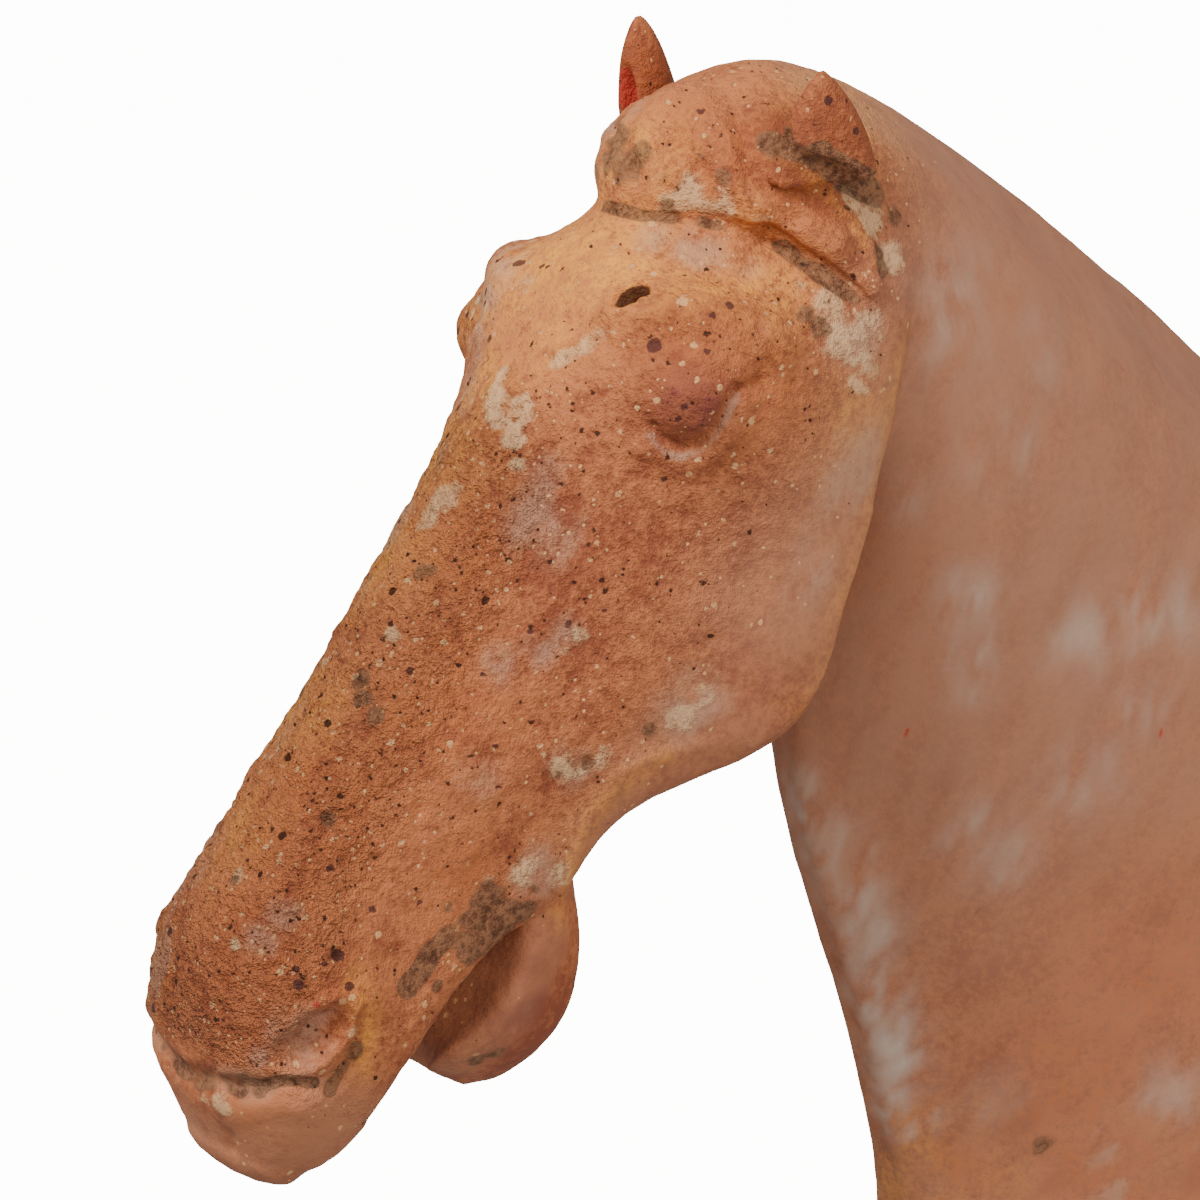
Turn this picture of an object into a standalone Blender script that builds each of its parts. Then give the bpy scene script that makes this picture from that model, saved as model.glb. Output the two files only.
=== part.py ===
"""Terracotta horse's head and neck, a bust cut flat below.

The horse looks along -Y and its left side is +X. The flat cut lies on z = 0 and its centre is the
origin. The carving is measured in shares of the head's length, as a sculptor's canon: the head is
HEAD_SHARES shares long from its poll to the tip of the upper lip, and a share is close to 1 mm.
"""

import bpy
import numpy as np

# Driving dimensions, in metres and degrees
HEAD_LENGTH = 0.165
HEAD_SLOPE = 56.0
POLL_HEIGHT = 0.213
EAR_LENGTH = 0.0178
LEFT_EAR_LOSS = 0.0016
EAR_WIDTH = 0.0122
EAR_LEAN = 8.0
NOSTRIL_LENGTH = 0.0130
NOSTRIL_DEPTH = 0.0022
EYEBALL_LENGTH = 0.0145
EYEBALL_RISE = 0.0014
MOUTH_TROUGH_DEPTH = 0.0055

# The canon: the head's length in shares, and one share in metres
HEAD_SHARES = 165.0
SHARE = HEAD_LENGTH / HEAD_SHARES

# How finely each form is divided: along it and round it
HEAD_DIVISIONS = (62, 44)
NECK_DIVISIONS = (34, 30)
JAW_DIVISIONS = (16, 24)
LOCK_DIVISIONS = (34, 12)
EAR_DIVISIONS = (9, 14)
# The head's sections stand closer together over the eyes and the nostrils, in shares from the poll
BUSY_SPANS = ((30, 50), (134, 158))
CROWDING = 1.8

# Sections of the head along its axis, in shares. Each row is the distance from the poll, the height
# of the top line, the shoulder of the bridge, the upper side, the cheek and the jaw's edge, each as
# (half width, height), and the height of the lower line.
HEAD_SECTIONS = [
    (0, 2.0, 9.0, 0.0, 16.5, -6.0, 20.5, -14.0, 20.5, -24.0, -27.0),
    (9, 7.0, 9.5, 4.0, 18.0, -5.0, 24.0, -14.0, 24.0, -27.0, -30.0),
    (16, 7.8, 10.5, 3.6, 19.0, -5.5, 26.0, -14.5, 25.6, -29.5, -32.5),
    (21, 8.8, 12.0, 4.8, 21.2, -4.4, 26.8, -13.0, 26.2, -31.5, -35.0),
    (25, 10.2, 13.8, 7.0, 23.0, -0.6, 27.4, -10.4, 26.5, -33.5, -36.6),
    (29, 11.4, 15.6, 9.2, 24.9, 2.8, 28.0, -8.4, 26.6, -35.0, -38.0),
    (34, 12.4, 15.8, 9.7, 25.4, 3.8, 28.4, -8.2, 26.8, -36.2, -39.6),
    (40, 13.1, 15.0, 9.8, 24.9, 3.2, 28.2, -10.4, 27.0, -37.5, -41.5),
    (44, 13.4, 13.4, 9.5, 22.8, 2.0, 27.6, -13.4, 27.0, -38.3, -42.5),
    (49, 13.7, 11.6, 9.6, 20.2, 1.4, 26.7, -16.5, 27.0, -39.2, -43.7),
    (56, 14.0, 10.0, 10.2, 17.5, 2.0, 25.8, -20.0, 26.7, -41.0, -46.0),
    (66, 14.2, 9.3, 10.6, 16.0, 2.5, 24.9, -20.0, 26.4, -43.5, -49.0),
    (76, 14.6, 9.0, 11.2, 15.2, 3.0, 22.8, -19.0, 24.4, -41.5, -48.0),
    (84, 15.0, 9.0, 12.0, 15.0, 3.0, 20.6, -17.0, 21.2, -35.6, -42.0),
    (92, 15.6, 9.0, 12.7, 15.0, 3.4, 19.0, -14.0, 18.8, -29.0, -35.0),
    (101, 16.4, 9.0, 13.9, 15.0, 4.0, 17.7, -12.0, 17.3, -26.8, -32.6),
    (109, 17.3, 9.0, 14.9, 14.9, 5.0, 17.1, -10.5, 16.6, -27.6, -34.0),
    (118, 18.0, 9.0, 15.7, 14.9, 6.0, 16.8, -8.0, 15.6, -19.0, -22.0),
    (126, 18.3, 9.4, 15.9, 15.8, 7.4, 17.3, -6.0, 16.0, -15.5, -19.0),
    (134, 18.0, 10.8, 15.6, 17.2, 8.4, 18.2, -3.5, 16.2, -13.8, -18.0),
    (142, 15.6, 11.3, 13.2, 17.8, 6.6, 18.2, -4.0, 15.2, -13.2, -18.0),
    (150, 11.0, 10.5, 9.2, 16.3, 3.6, 16.8, -4.8, 13.4, -13.4, -17.8),
    (156, 5.0, 8.8, 3.4, 13.8, -0.6, 14.4, -6.4, 11.6, -12.8, -16.2),
    (160, -1.0, 7.2, -2.0, 11.0, -4.6, 11.4, -8.0, 8.8, -11.4, -13.8),
    (163.0, -6.2, 4.6, -6.8, 6.8, -7.8, 7.0, -9.4, 5.4, -11.0, -12.0),
]
HEAD_TIP = (164.6, -9.6)

# Sections of the neck from the forelock over the poll and down the crest, in shares from the poll's
# centre: the crest point and the throat point, each as (backward, upward), the half width of the
# throat's flat strip, three half widths of the side at SIDE_LEVELS from throat to crest, and the
# half width of the mane's ridge.
SIDE_LEVELS = (0.22, 0.5, 0.8)
RIDGE_LEVEL = 0.96
THROAT_BULGE_LEVEL = -0.012
NECK_SECTIONS = [
    (-11.0, -8.0, -4.0, -18.0, 3.0, 6.0, 9.0, 7.0, 3.5),
    (-9.0, -2.0, 0.0, -22.0, 5.0, 14.0, 17.5, 14.0, 6.5),
    (-2.0, 5.4, 5.0, -29.0, 7.0, 18.5, 22.0, 17.0, 7.0),
    (9.0, 7.6, 10.0, -38.0, 7.0, 21.0, 24.0, 18.5, 7.0),
    (21.0, 4.8, 13.0, -53.0, 6.0, 22.0, 25.0, 19.5, 7.0),
    (34.0, -1.9, 14.5, -68.0, 5.0, 21.0, 25.4, 20.5, 6.5),
    (47.0, -10.2, 15.5, -85.0, 4.7, 19.5, 26.2, 21.5, 6.0),
    (68.0, -24.6, 17.5, -104.0, 4.7, 19.0, 27.5, 23.0, 5.5),
    (86.0, -37.8, 23.5, -123.0, 4.7, 19.5, 28.5, 24.5, 5.5),
    (103.0, -51.3, 30.0, -141.0, 4.8, 21.0, 30.5, 26.5, 5.5),
    (124.0, -70.0, 36.0, -158.0, 5.2, 23.5, 33.0, 28.5, 6.5),
    (143.0, -90.0, 40.5, -173.0, 6.2, 26.0, 35.5, 30.5, 8.5),
    (160.0, -114.0, 43.5, -186.0, 7.6, 28.5, 38.0, 32.5, 11.0),
    (171.0, -146.0, 44.6, -197.0, 9.0, 30.5, 40.0, 34.0, 13.5),
    (177.0, -180.0, 44.6, -206.0, 10.0, 32.0, 41.5, 35.5, 15.5),
]
# The last section is the flat cut: how far its back and front lie behind the poll, and its widths
CUT_BACK_AND_FRONT = (178.0, 44.0)
CUT_WIDTHS = (10.5, 32.5, 42.0, 36.0, 16.0)
# How far under the poll the cut lies where the rows are as written, and how far down the rows keep
# their place beside the head: the neck below that is stretched to reach the cut at POLL_HEIGHT
CUT_DEPTH = 213.0
KEPT_DEPTH = 60.0

# How far the poll lies in front of the middle of the cut
POLL_FORWARD = SHARE * sum(CUT_BACK_AND_FRONT) / 2

# The lower jaw, in shares on the head's axis: distance, half width, height of the rim, of the bottom
JAW_SECTIONS = [
    (98, 13.0, -14.0, -29.5),
    (106, 15.2, -18.5, -36.3),
    (112, 15.8, -23.0, -41.5),
    (118, 15.9, -26.0, -44.8),
    (123, 15.6, -27.0, -46.4),
    (128, 14.6, -27.5, -46.0),
    (133, 12.3, -28.3, -44.4),
    (137, 8.6, -29.5, -41.8),
    (139.4, 4.2, -31.3, -38.6),
]
JAW_TIP = (140.0, -35.0)
TROUGH_SPAN = (112.0, 118.0, 131.0, 138.0)

# The forelock and its locks: a band over the forehead from its middle to the tip beside the temple.
# Each row is (half width, distance, height) of its middle line on the head, its own half breadth
# and its half thickness, in shares.
LOCK_SECTIONS = [
    (0.0, 8.6, 6.4, 11.6, 4.6),
    (7.0, 8.2, 4.6, 9.6, 4.2),
    (13.0, 8.6, 0.4, 6.8, 3.8),
    (18.4, 9.2, -5.4, 5.0, 3.4),
    (22.4, 10.2, -11.0, 4.2, 2.9),
    (24.8, 12.2, -16.0, 3.0, 2.2),
    (25.8, 14.4, -20.0, 1.0, 0.9),
]

# Places on the head, in shares: (half width, distance, height)
EYE_PLACE = (26.0, 39.0, 0.5)
NOSTRIL_PLACE = (17.5, 141.0, 5.0)
EAR_PLACE = (19.0, 2.5, -6.4)


def smooth(rows, at):
    """Values between the rows at the first column's places, on a curve that keeps its slope.

    Each stretch is a cubic whose end slopes are those of the chord over the neighbouring rows.
    """
    table = np.asarray(rows, dtype=float)
    place = table[:, 0]
    values = table[:, 1:]
    slopes = np.gradient(values, place, axis=0)
    index = np.clip(np.searchsorted(place, at, side="right") - 1, 0, len(place) - 2)
    width = (place[index + 1] - place[index])[:, None]
    t = (np.asarray(at)[:, None] - place[index][:, None]) / width
    first = (1 + 2 * t) * (1 - t) ** 2 * values[index]
    second = t * t * (3 - 2 * t) * values[index + 1]
    leaving = t * (1 - t) ** 2 * width * slopes[index]
    arriving = t * t * (t - 1) * width * slopes[index + 1]
    return first + second + leaving + arriving


def round_curve(corners, count):
    """Closed curves through each row's corners: a periodic cubic that keeps its slope.

    corners has the shape (rows, corners, coordinates); the result has count points in each row.
    """
    number = corners.shape[1]
    place = np.arange(count) * number / count
    index = place.astype(int)
    t = (place - index)[None, :, None]
    before, here, after, beyond = [corners[:, (index + step) % number] for step in (-1, 0, 1, 2)]
    slope_here = (after - before) / 2
    slope_after = (beyond - here) / 2
    return ((1 + 2 * t) * (1 - t) ** 2 * here + t * t * (3 - 2 * t) * after
            + t * (1 - t) ** 2 * slope_here + t * t * (t - 1) * slope_after)


def rise_and_fall(value, start, full, fading, end):
    """0 before start, 1 between full and fading, 0 after end, with soft ramps between them."""
    up = np.clip((value - start) / (full - start), 0, 1)
    down = np.clip((end - value) / (end - fading), 0, 1)
    return up * up * (3 - 2 * up) * down * down * (3 - 2 * down)


def crowded_places(first, last, count, busy):
    """Places from first to last, CROWDING times as close together within each busy span."""
    fine = np.linspace(first, last, 40 * count)
    density = np.ones_like(fine)
    for start, end in busy:
        density += (CROWDING - 1) * rise_and_fall(fine, start - 6, start, end, end + 6)
    passed = np.concatenate([[0.0], np.cumsum((density[1:] + density[:-1]) / 2)])
    return np.interp(np.linspace(0, passed[-1], count), passed, fine)


def surface_normals(grid):
    """Outward unit normals of a grid of rings, from its differences along and round it."""
    along = np.gradient(grid, axis=0)
    around = (np.roll(grid, -1, axis=1) - np.roll(grid, 1, axis=1)) / 2
    normal = np.cross(around, along)
    outward = grid - grid.mean(axis=1, keepdims=True)
    if (normal * outward).sum() < 0:
        normal = -normal
    return normal / np.maximum(np.linalg.norm(normal, axis=2, keepdims=True), 1e-12)


def on_head(across, distance, height):
    """Points in metres from places on the head: across, down its axis and out from its axis."""
    slope = np.radians(HEAD_SLOPE)
    y = -POLL_FORWARD - SHARE * (distance * np.cos(slope) + height * np.sin(slope))
    z = POLL_HEIGHT - SHARE * (distance * np.sin(slope) - height * np.cos(slope))
    return np.stack(np.broadcast_arrays(SHARE * across, y, z), axis=-1)


def mirrored_ring(half):
    """A whole ring of corners from its half: the top and the bottom lie on the middle plane."""
    other = half[:, -2:0:-1] * np.array([-1.0, 1.0])
    return np.concatenate([half, other], axis=1)


def eye_relief(across, distance, height):
    """The eyeball's low dome with the crease of the lower lid round its lower and rear sides."""
    place_x, place_s, place_n = EYE_PLACE
    along = (distance - place_s) * SHARE
    up = (0.83 * (height - place_n) - 0.55 * (np.abs(across) - place_x)) * SHARE
    radius = np.hypot(along / (EYEBALL_LENGTH / 2), up / (EYEBALL_LENGTH * 0.45))
    brow = 1.1 * SHARE * np.exp(-(radius / 1.45) ** 2)
    ball = EYEBALL_RISE * np.sqrt(np.clip(1 - radius ** 2, 0, 1))
    below = np.clip(0.5 - up / EYEBALL_LENGTH * 2, 0, 1)
    crease = -0.9 * SHARE * below * np.exp(-((radius - 1.12) / 0.16) ** 2)
    return (brow + ball + crease) * (np.abs(across) > 8)


def nostril_relief(across, distance, height):
    """An oval hollow, slanting up and back, inside a raised rim."""
    place_x, place_s, place_n = NOSTRIL_PLACE
    along = (distance - place_s) * SHARE
    up = (height - place_n) * SHARE
    slant = np.radians(38)
    long_way = along * np.cos(slant) + up * np.sin(slant)
    short_way = -along * np.sin(slant) + up * np.cos(slant)
    radius = np.hypot(long_way / (NOSTRIL_LENGTH / 2), short_way / (NOSTRIL_LENGTH * 0.27))
    hollow = -NOSTRIL_DEPTH * np.exp(-radius ** 4)
    rim = 0.8 * SHARE * np.exp(-((radius - 1.5) / 0.5) ** 2)
    return (hollow + rim) * (np.abs(across) > 10)


def lip_relief(across, distance, height):
    """The groove over the upper lip, and the notch in its middle."""
    groove_line = 149.5 - 0.12 * np.abs(across)
    groove = -0.8 * np.exp(-((distance - groove_line) / 1.8) ** 2)
    groove = groove * rise_and_fall(height, -14, -8, 16, 22)
    notch = -1.6 * np.exp(-(across / 2.6) ** 2) * rise_and_fall(distance, 153, 160, 166, 167)
    return (groove + notch) * SHARE


def solid_from_rings(name, rings, first_cap, last_cap, material):
    """A closed solid from a grid of rings, each end drawn to the middle point that is given."""
    count, around, _ = rings.shape
    points = np.concatenate([rings.reshape(-1, 3), [first_cap], [last_cap]])
    faces = []
    for row in range(count - 1):
        for column in range(around):
            following = (column + 1) % around
            here = row * around
            beyond = here + around
            faces.append((here + column, here + following, beyond + following, beyond + column))
    last = (count - 1) * around
    for column in range(around):
        following = (column + 1) % around
        faces.append((following, column, count * around))
        faces.append((last + column, last + following, count * around + 1))
    mesh = bpy.data.meshes.new(name)
    mesh.from_pydata(points.tolist(), [], faces)
    mesh.update()
    signed = sum(face.center.dot(face.normal) * face.area for face in mesh.polygons)
    if signed < 0:
        mesh.flip_normals()
    mesh.materials.append(material)
    mesh.shade_smooth()
    solid = bpy.data.objects.new(name, mesh)
    bpy.context.collection.objects.link(solid)
    return solid


def make_head(material):
    """The head: rounded sections along its axis, with eyes, nostrils and lips in relief."""
    first, last = HEAD_SECTIONS[0][0], HEAD_SECTIONS[-1][0]
    stations = crowded_places(first, last, HEAD_DIVISIONS[0], BUSY_SPANS)
    values = smooth(HEAD_SECTIONS, stations)
    top = np.stack([np.zeros(len(stations)), values[:, 0]], axis=1)[:, None]
    low = np.stack([np.zeros(len(stations)), values[:, 9]], axis=1)[:, None]
    sides = values[:, 1:9].reshape(len(stations), 4, 2)
    rings = round_curve(mirrored_ring(np.concatenate([top, sides, low], axis=1)), HEAD_DIVISIONS[1])
    across = rings[..., 0]
    height = rings[..., 1]
    distance = np.broadcast_to(stations[:, None], across.shape)
    grid = on_head(across, distance, height)
    relief = (eye_relief(across, distance, height) + nostril_relief(across, distance, height)
              + lip_relief(across, distance, height))
    grid = grid + surface_normals(grid) * relief[..., None]
    poll_end = on_head(0.0, stations[0], values[0, [0, 9]].mean())
    return solid_from_rings("horse_head", grid, poll_end, on_head(0.0, *HEAD_TIP), material)


def make_neck(material):
    """The neck with the mane's dome: flat-throated sections from the forelock down to the cut."""
    poll = np.array([-POLL_FORWARD, POLL_HEIGHT])
    back, front = CUT_BACK_AND_FRONT
    cut = (back, -CUT_DEPTH, front, -CUT_DEPTH) + CUT_WIDTHS
    table = [(number,) + row for number, row in enumerate(NECK_SECTIONS + [cut])]
    places = np.linspace(0, len(table) - 1, NECK_DIVISIONS[0])
    values = smooth(table, places)
    crest = values[:, 0:2]
    throat = values[:, 2:4]
    levels = (0.0,) + SIDE_LEVELS + (RIDGE_LEVEL,)
    half = [np.stack([np.zeros(len(places)), np.full(len(places), THROAT_BULGE_LEVEL)], axis=1)]
    for level, width in zip(levels, values[:, 4:9].T):
        half.append(np.stack([width, np.full(len(places), level)], axis=1))
    half.append(np.stack([np.zeros(len(places)), np.ones(len(places))], axis=1))
    rings = round_curve(mirrored_ring(np.stack(half, axis=1)), NECK_DIVISIONS[1])
    line = throat[:, None] + rings[..., 1:2] * (crest - throat)[:, None]
    stretch = (POLL_HEIGHT / SHARE - KEPT_DEPTH) / (CUT_DEPTH - KEPT_DEPTH)
    line[..., 1] += (stretch - 1) * np.minimum(line[..., 1] + KEPT_DEPTH, 0)
    grid = np.concatenate([SHARE * rings[..., 0:1], poll + SHARE * line], axis=2)
    grid[-1, :, 2] = 0.0
    centre = grid.mean(axis=1)
    return solid_from_rings("neck_form", grid, centre[0], centre[-1], material)


def make_lower_jaw(material):
    """The lower jaw: half-round sections with a hollow trough in their upper side."""
    stations = np.linspace(JAW_SECTIONS[0][0], JAW_SECTIONS[-1][0], JAW_DIVISIONS[0])
    width, rim, bottom = smooth(JAW_SECTIONS, stations).T[:, :, None]
    angle = np.linspace(0, 2 * np.pi, JAW_DIVISIONS[1], endpoint=False)[None, :]
    across = width * np.cos(angle)
    below = np.clip(-np.sin(angle), 0, 1)
    above = np.clip(np.sin(angle), 0, 1)
    trough = MOUTH_TROUGH_DEPTH / SHARE * rise_and_fall(stations, *TROUGH_SPAN)[:, None]
    lip = 1.2 * rise_and_fall(above, 0.0, 0.35, 0.45, 0.7)
    height = rim - below * (rim - bottom) + lip - trough * above ** 1.5
    grid = on_head(across, stations[:, None] + 0 * across, height)
    start = on_head(0.0, stations[0], float(rim[0, 0] + bottom[0, 0]) / 2)
    return solid_from_rings("lower_jaw_form", grid, start, on_head(0.0, *JAW_TIP), material)


def make_forelock(material):
    """The forelock: an oval carried from one temple's lock over the forehead to the other."""
    half = np.asarray(LOCK_SECTIONS)
    other = half[:0:-1] * np.array([-1.0, 1.0, 1.0, 1.0, 1.0])
    rows = np.concatenate([other, half])
    number = np.arange(len(rows))[:, None]
    values = smooth(np.concatenate([number, rows], axis=1), np.linspace(0, len(rows) - 1, LOCK_DIVISIONS[0]))
    middle = on_head(values[:, 0], values[:, 1], values[:, 2])
    along = np.gradient(middle, axis=0)
    along /= np.linalg.norm(along, axis=1, keepdims=True)
    axis = on_head(0.0, 1.0, 0.0) - on_head(0.0, 0.0, 0.0)
    flat = axis / np.linalg.norm(axis)
    flat = flat - along * (along @ flat)[:, None]
    flat /= np.linalg.norm(flat, axis=1, keepdims=True)
    outward = np.cross(along, flat)
    angle = np.linspace(0, 2 * np.pi, LOCK_DIVISIONS[1], endpoint=False)[None, :, None]
    breadth = SHARE * values[:, 3][:, None, None]
    thickness = SHARE * values[:, 4][:, None, None]
    square = np.sign(np.sin(angle)) * np.abs(np.sin(angle)) ** 0.75
    grid = (middle[:, None] + breadth * np.cos(angle) * flat[:, None]
            + thickness * square * outward[:, None])
    return solid_from_rings("forelock_form", grid, middle[0], middle[-1], material)


def make_ear(side, material):
    """An ear: leaf-shaped sections, hollowed in front, that narrow to a point."""
    length = EAR_LENGTH - (LEFT_EAR_LOSS if side > 0 else 0.0)
    height = np.linspace(0, 1, EAR_DIVISIONS[0])[:-1, None]
    angle = np.linspace(0, 2 * np.pi, EAR_DIVISIONS[1], endpoint=False)[None, :]
    leaf = (1 - height) ** 0.8 * (1 + 0.7 * height)
    breadth = EAR_WIDTH / 2 * leaf
    thickness = EAR_WIDTH * 0.30 * leaf
    hollow = EAR_WIDTH * 0.22 * leaf * np.clip(-np.sin(angle), 0, 1) ** 2
    wide = breadth * np.cos(angle)
    deep = thickness * np.sin(angle) + hollow
    lean = np.radians(EAR_LEAN)
    turn = np.radians(74)
    base = on_head(*EAR_PLACE)
    up = np.array([np.sin(lean) * 0.7, -np.sin(lean) * 0.7, np.cos(lean)])
    up /= np.linalg.norm(up)
    across = np.array([np.cos(turn), np.sin(turn), 0.0])
    across = across - up * (up @ across)
    across /= np.linalg.norm(across)
    back = np.cross(up, across)
    grid = (base + height[..., None] * length * up + wide[..., None] * across
            + deep[..., None] * back)
    tip = base + length * up
    flip = np.array([side, 1.0, 1.0])
    return solid_from_rings("ear_form", grid * flip, base * flip, tip * flip, material)


def join(body, others):
    """Boolean unions that make one closed solid of the body and the forms laid into it."""
    for form in others:
        form.hide_render = True
        form.display_type = "WIRE"
        union = body.modifiers.new("join " + form.name, "BOOLEAN")
        union.operation = "UNION"
        union.solver = "EXACT"
        union.object = form
    return body


def make_terracotta():
    """Orange-brown fired earthenware, matt and slightly rough."""
    material = bpy.data.materials.new("terracotta")
    material.use_nodes = True
    shader = material.node_tree.nodes["Principled BSDF"]
    shader.inputs["Base Color"].default_value = (0.48, 0.22, 0.12, 1.0)
    shader.inputs["Roughness"].default_value = 0.85
    shader.inputs["Metallic"].default_value = 0.0
    return material


def build():
    """The whole bust, as one solid of clay."""
    for thing in list(bpy.data.objects):
        bpy.data.objects.remove(thing, do_unlink=True)
    terracotta = make_terracotta()
    head = make_head(terracotta)
    forms = [make_neck(terracotta), make_forelock(terracotta), make_lower_jaw(terracotta)]
    forms += [make_ear(side, terracotta) for side in (1.0, -1.0)]
    join(head, forms)


build()
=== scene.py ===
"""Terracotta horse's head and neck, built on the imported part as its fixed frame.

The clay is one piece: head, neck, forelock, lower jaw and ears are surfaces worked out on grids and
joined. A place on the head is (x, s, n) in shares of the head's length, about a millimetre each: x
across with the horse's left at +X, s down the head's axis from the poll, n outward from the axis.
"""

import math

import bpy
import numpy as np
from bpy.props import FloatProperty, PointerProperty, StringProperty
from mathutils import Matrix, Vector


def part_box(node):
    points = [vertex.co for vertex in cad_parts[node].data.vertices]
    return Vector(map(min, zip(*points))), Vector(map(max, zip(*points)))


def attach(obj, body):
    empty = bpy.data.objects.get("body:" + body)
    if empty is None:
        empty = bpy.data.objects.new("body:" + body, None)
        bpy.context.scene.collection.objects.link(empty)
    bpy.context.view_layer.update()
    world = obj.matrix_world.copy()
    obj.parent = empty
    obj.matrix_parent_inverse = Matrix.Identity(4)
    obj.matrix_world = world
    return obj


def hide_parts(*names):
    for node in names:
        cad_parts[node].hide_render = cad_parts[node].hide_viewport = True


bl_info = {
    "name": "Terracotta Horse Head",
    "version": (1, 0, 0),
    "blender": (4, 5, 0),
    "location": "View3D > Sidebar > Horse Head",
    "description": "Models the fired clay, its worn finish and a plain studio stage",
    "category": "Object",
}

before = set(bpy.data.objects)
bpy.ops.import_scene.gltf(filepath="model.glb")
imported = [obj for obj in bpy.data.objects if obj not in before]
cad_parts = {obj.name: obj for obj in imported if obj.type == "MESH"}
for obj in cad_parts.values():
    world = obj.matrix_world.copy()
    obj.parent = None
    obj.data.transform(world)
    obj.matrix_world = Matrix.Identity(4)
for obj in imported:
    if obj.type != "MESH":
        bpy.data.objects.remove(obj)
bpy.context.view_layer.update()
NODE = "horse_head"
BODY = "root"
NODE_LOW, NODE_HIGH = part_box(NODE)

# The canon: shares in the head's length from the poll to the tip of the lip
HEAD_SHARES = 165.0

# Sections of the head along its axis, in shares. Each row is the distance from the poll, the height
# of the top line, the shoulder of the bridge, the upper side, the cheek and the jaw's edge, each as
# (half width, height), and the height of the lower line.
HEAD_SECTIONS = [
    (0, 2, 9, 0, 16.5, -6, 20.5, -14, 20.5, -24, -27),
    (9, 7, 9.5, 4, 18, -5, 24, -14, 24, -27, -30),
    (16, 7.8, 10.5, 3.6, 19, -5.5, 26, -14.5, 25.6, -29.5, -32.5),
    (21, 8.8, 12, 4.8, 21.2, -4.4, 26.8, -13, 26.2, -31.5, -35),
    (25, 10.2, 13.8, 7, 23, -0.6, 27.4, -10.4, 26.5, -33.5, -36.6),
    (29, 11.4, 15.6, 9.2, 24.9, 2.8, 28, -8.4, 26.6, -35, -38),
    (34, 12.4, 15.8, 9.7, 25.4, 3.8, 28.4, -8.2, 26.8, -36.2, -39.6),
    (40, 13.1, 15, 9.8, 24.9, 3.2, 28.2, -10.4, 27, -37.5, -41.5),
    (44, 13.4, 13.4, 9.5, 22.8, 2, 27.6, -13.4, 27, -38.3, -42.5),
    (49, 13.7, 11.6, 9.6, 20.2, 1.4, 26.7, -16.5, 27, -39.2, -43.7),
    (56, 14, 10, 10.2, 17.5, 2, 25.8, -20, 26.7, -41, -46),
    (66, 14.2, 9.3, 10.6, 16, 2.5, 24.9, -20, 26.4, -43.5, -49),
    (76, 14.6, 9, 11.2, 15.2, 3, 22.8, -19, 24.4, -41.5, -48),
    (84, 15, 9, 12, 15, 3, 20.6, -17, 21.2, -35.6, -42),
    (92, 15.6, 9, 12.7, 15, 3.4, 19, -14, 18.8, -29, -35),
    (101, 16.4, 9, 13.9, 15, 4, 17.7, -12, 17.2, -26, -31.4),
    (109, 17.3, 9, 14.9, 14.9, 5, 17.1, -10.5, 16.4, -25.2, -29.8),
    (118, 18, 9, 15.7, 14.9, 6, 16.8, -8, 15.6, -19, -22),
    (126, 18.3, 9.4, 15.9, 15.8, 7.4, 17.3, -6, 16, -15.5, -19),
    (134, 18, 10.8, 15.6, 17.2, 8.4, 18.2, -3.5, 16.2, -13.8, -18),
    (142, 15.6, 11.3, 13.2, 17.8, 6.6, 18.2, -4, 15.2, -13.2, -18),
    (150, 11, 10.5, 9.2, 16.3, 3.6, 16.8, -4.8, 13.4, -13.4, -17.8),
    (156, 5, 8.6, 3.4, 13.4, -0.8, 13.9, -6.2, 11.2, -12.2, -15.4),
    (160, 0.2, 6.8, -1, 10.4, -4, 10.9, -7.2, 8.4, -10.8, -12.6),
    (162.6, -4.8, 5.8, -5.6, 9, -7.2, 9.4, -9.4, 7.2, -11.4, -12.8),
]

# Sections of the neck from the forelock over the poll and down the crest, in shares from the poll's
# centre: the crest point and the throat point, each as (backward, upward), the half width of the
# throat's flat strip, three half widths of the side, and the half width of the mane's ridge.
NECK_SECTIONS = [
    (-11, -8, -4, -18, 3, 6, 9, 7, 3.5),
    (-9, -2, 0, -22, 5, 14, 17.5, 14, 6.5),
    (-2, 5.4, 5, -29, 7, 18.5, 22, 17, 7),
    (9, 7.6, 10, -38, 7, 21, 24, 18.5, 7),
    (21, 4.8, 13, -53, 6, 22, 25, 19.5, 7),
    (34, -1.9, 14.5, -68, 5, 21, 25.4, 20.5, 6.5),
    (47, -10.2, 15.5, -85, 4.7, 19.5, 26.2, 21.5, 6),
    (68, -24.6, 17.5, -104, 4.7, 19, 27.5, 23, 5.5),
    (86, -37.8, 23.5, -123, 4.7, 19.5, 28.5, 24.5, 5.5),
    (103, -51.3, 30, -141, 4.8, 21, 30.5, 26.5, 5.5),
    (124, -70, 36, -158, 5.2, 23.5, 33, 28.5, 6.5),
    (143, -90, 40.5, -173, 6.2, 26, 35.5, 30.5, 8.5),
    (160, -114, 43.5, -186, 7.6, 28.5, 38, 32.5, 11),
    (171, -146, 44.6, -197, 9, 30.5, 40, 34, 13.5),
    (177, -180, 44.6, -206, 10, 32, 41.5, 35.5, 15.5),
    (178, -213, 44, -213, 10.5, 32.5, 42, 36, 16),
]
# How far along from the throat to the crest each corner of a section lies, the throat's middle first
NECK_LEVELS = (-0.012, 0.0, 0.22, 0.5, 0.8, 0.96, 1.0)

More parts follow.
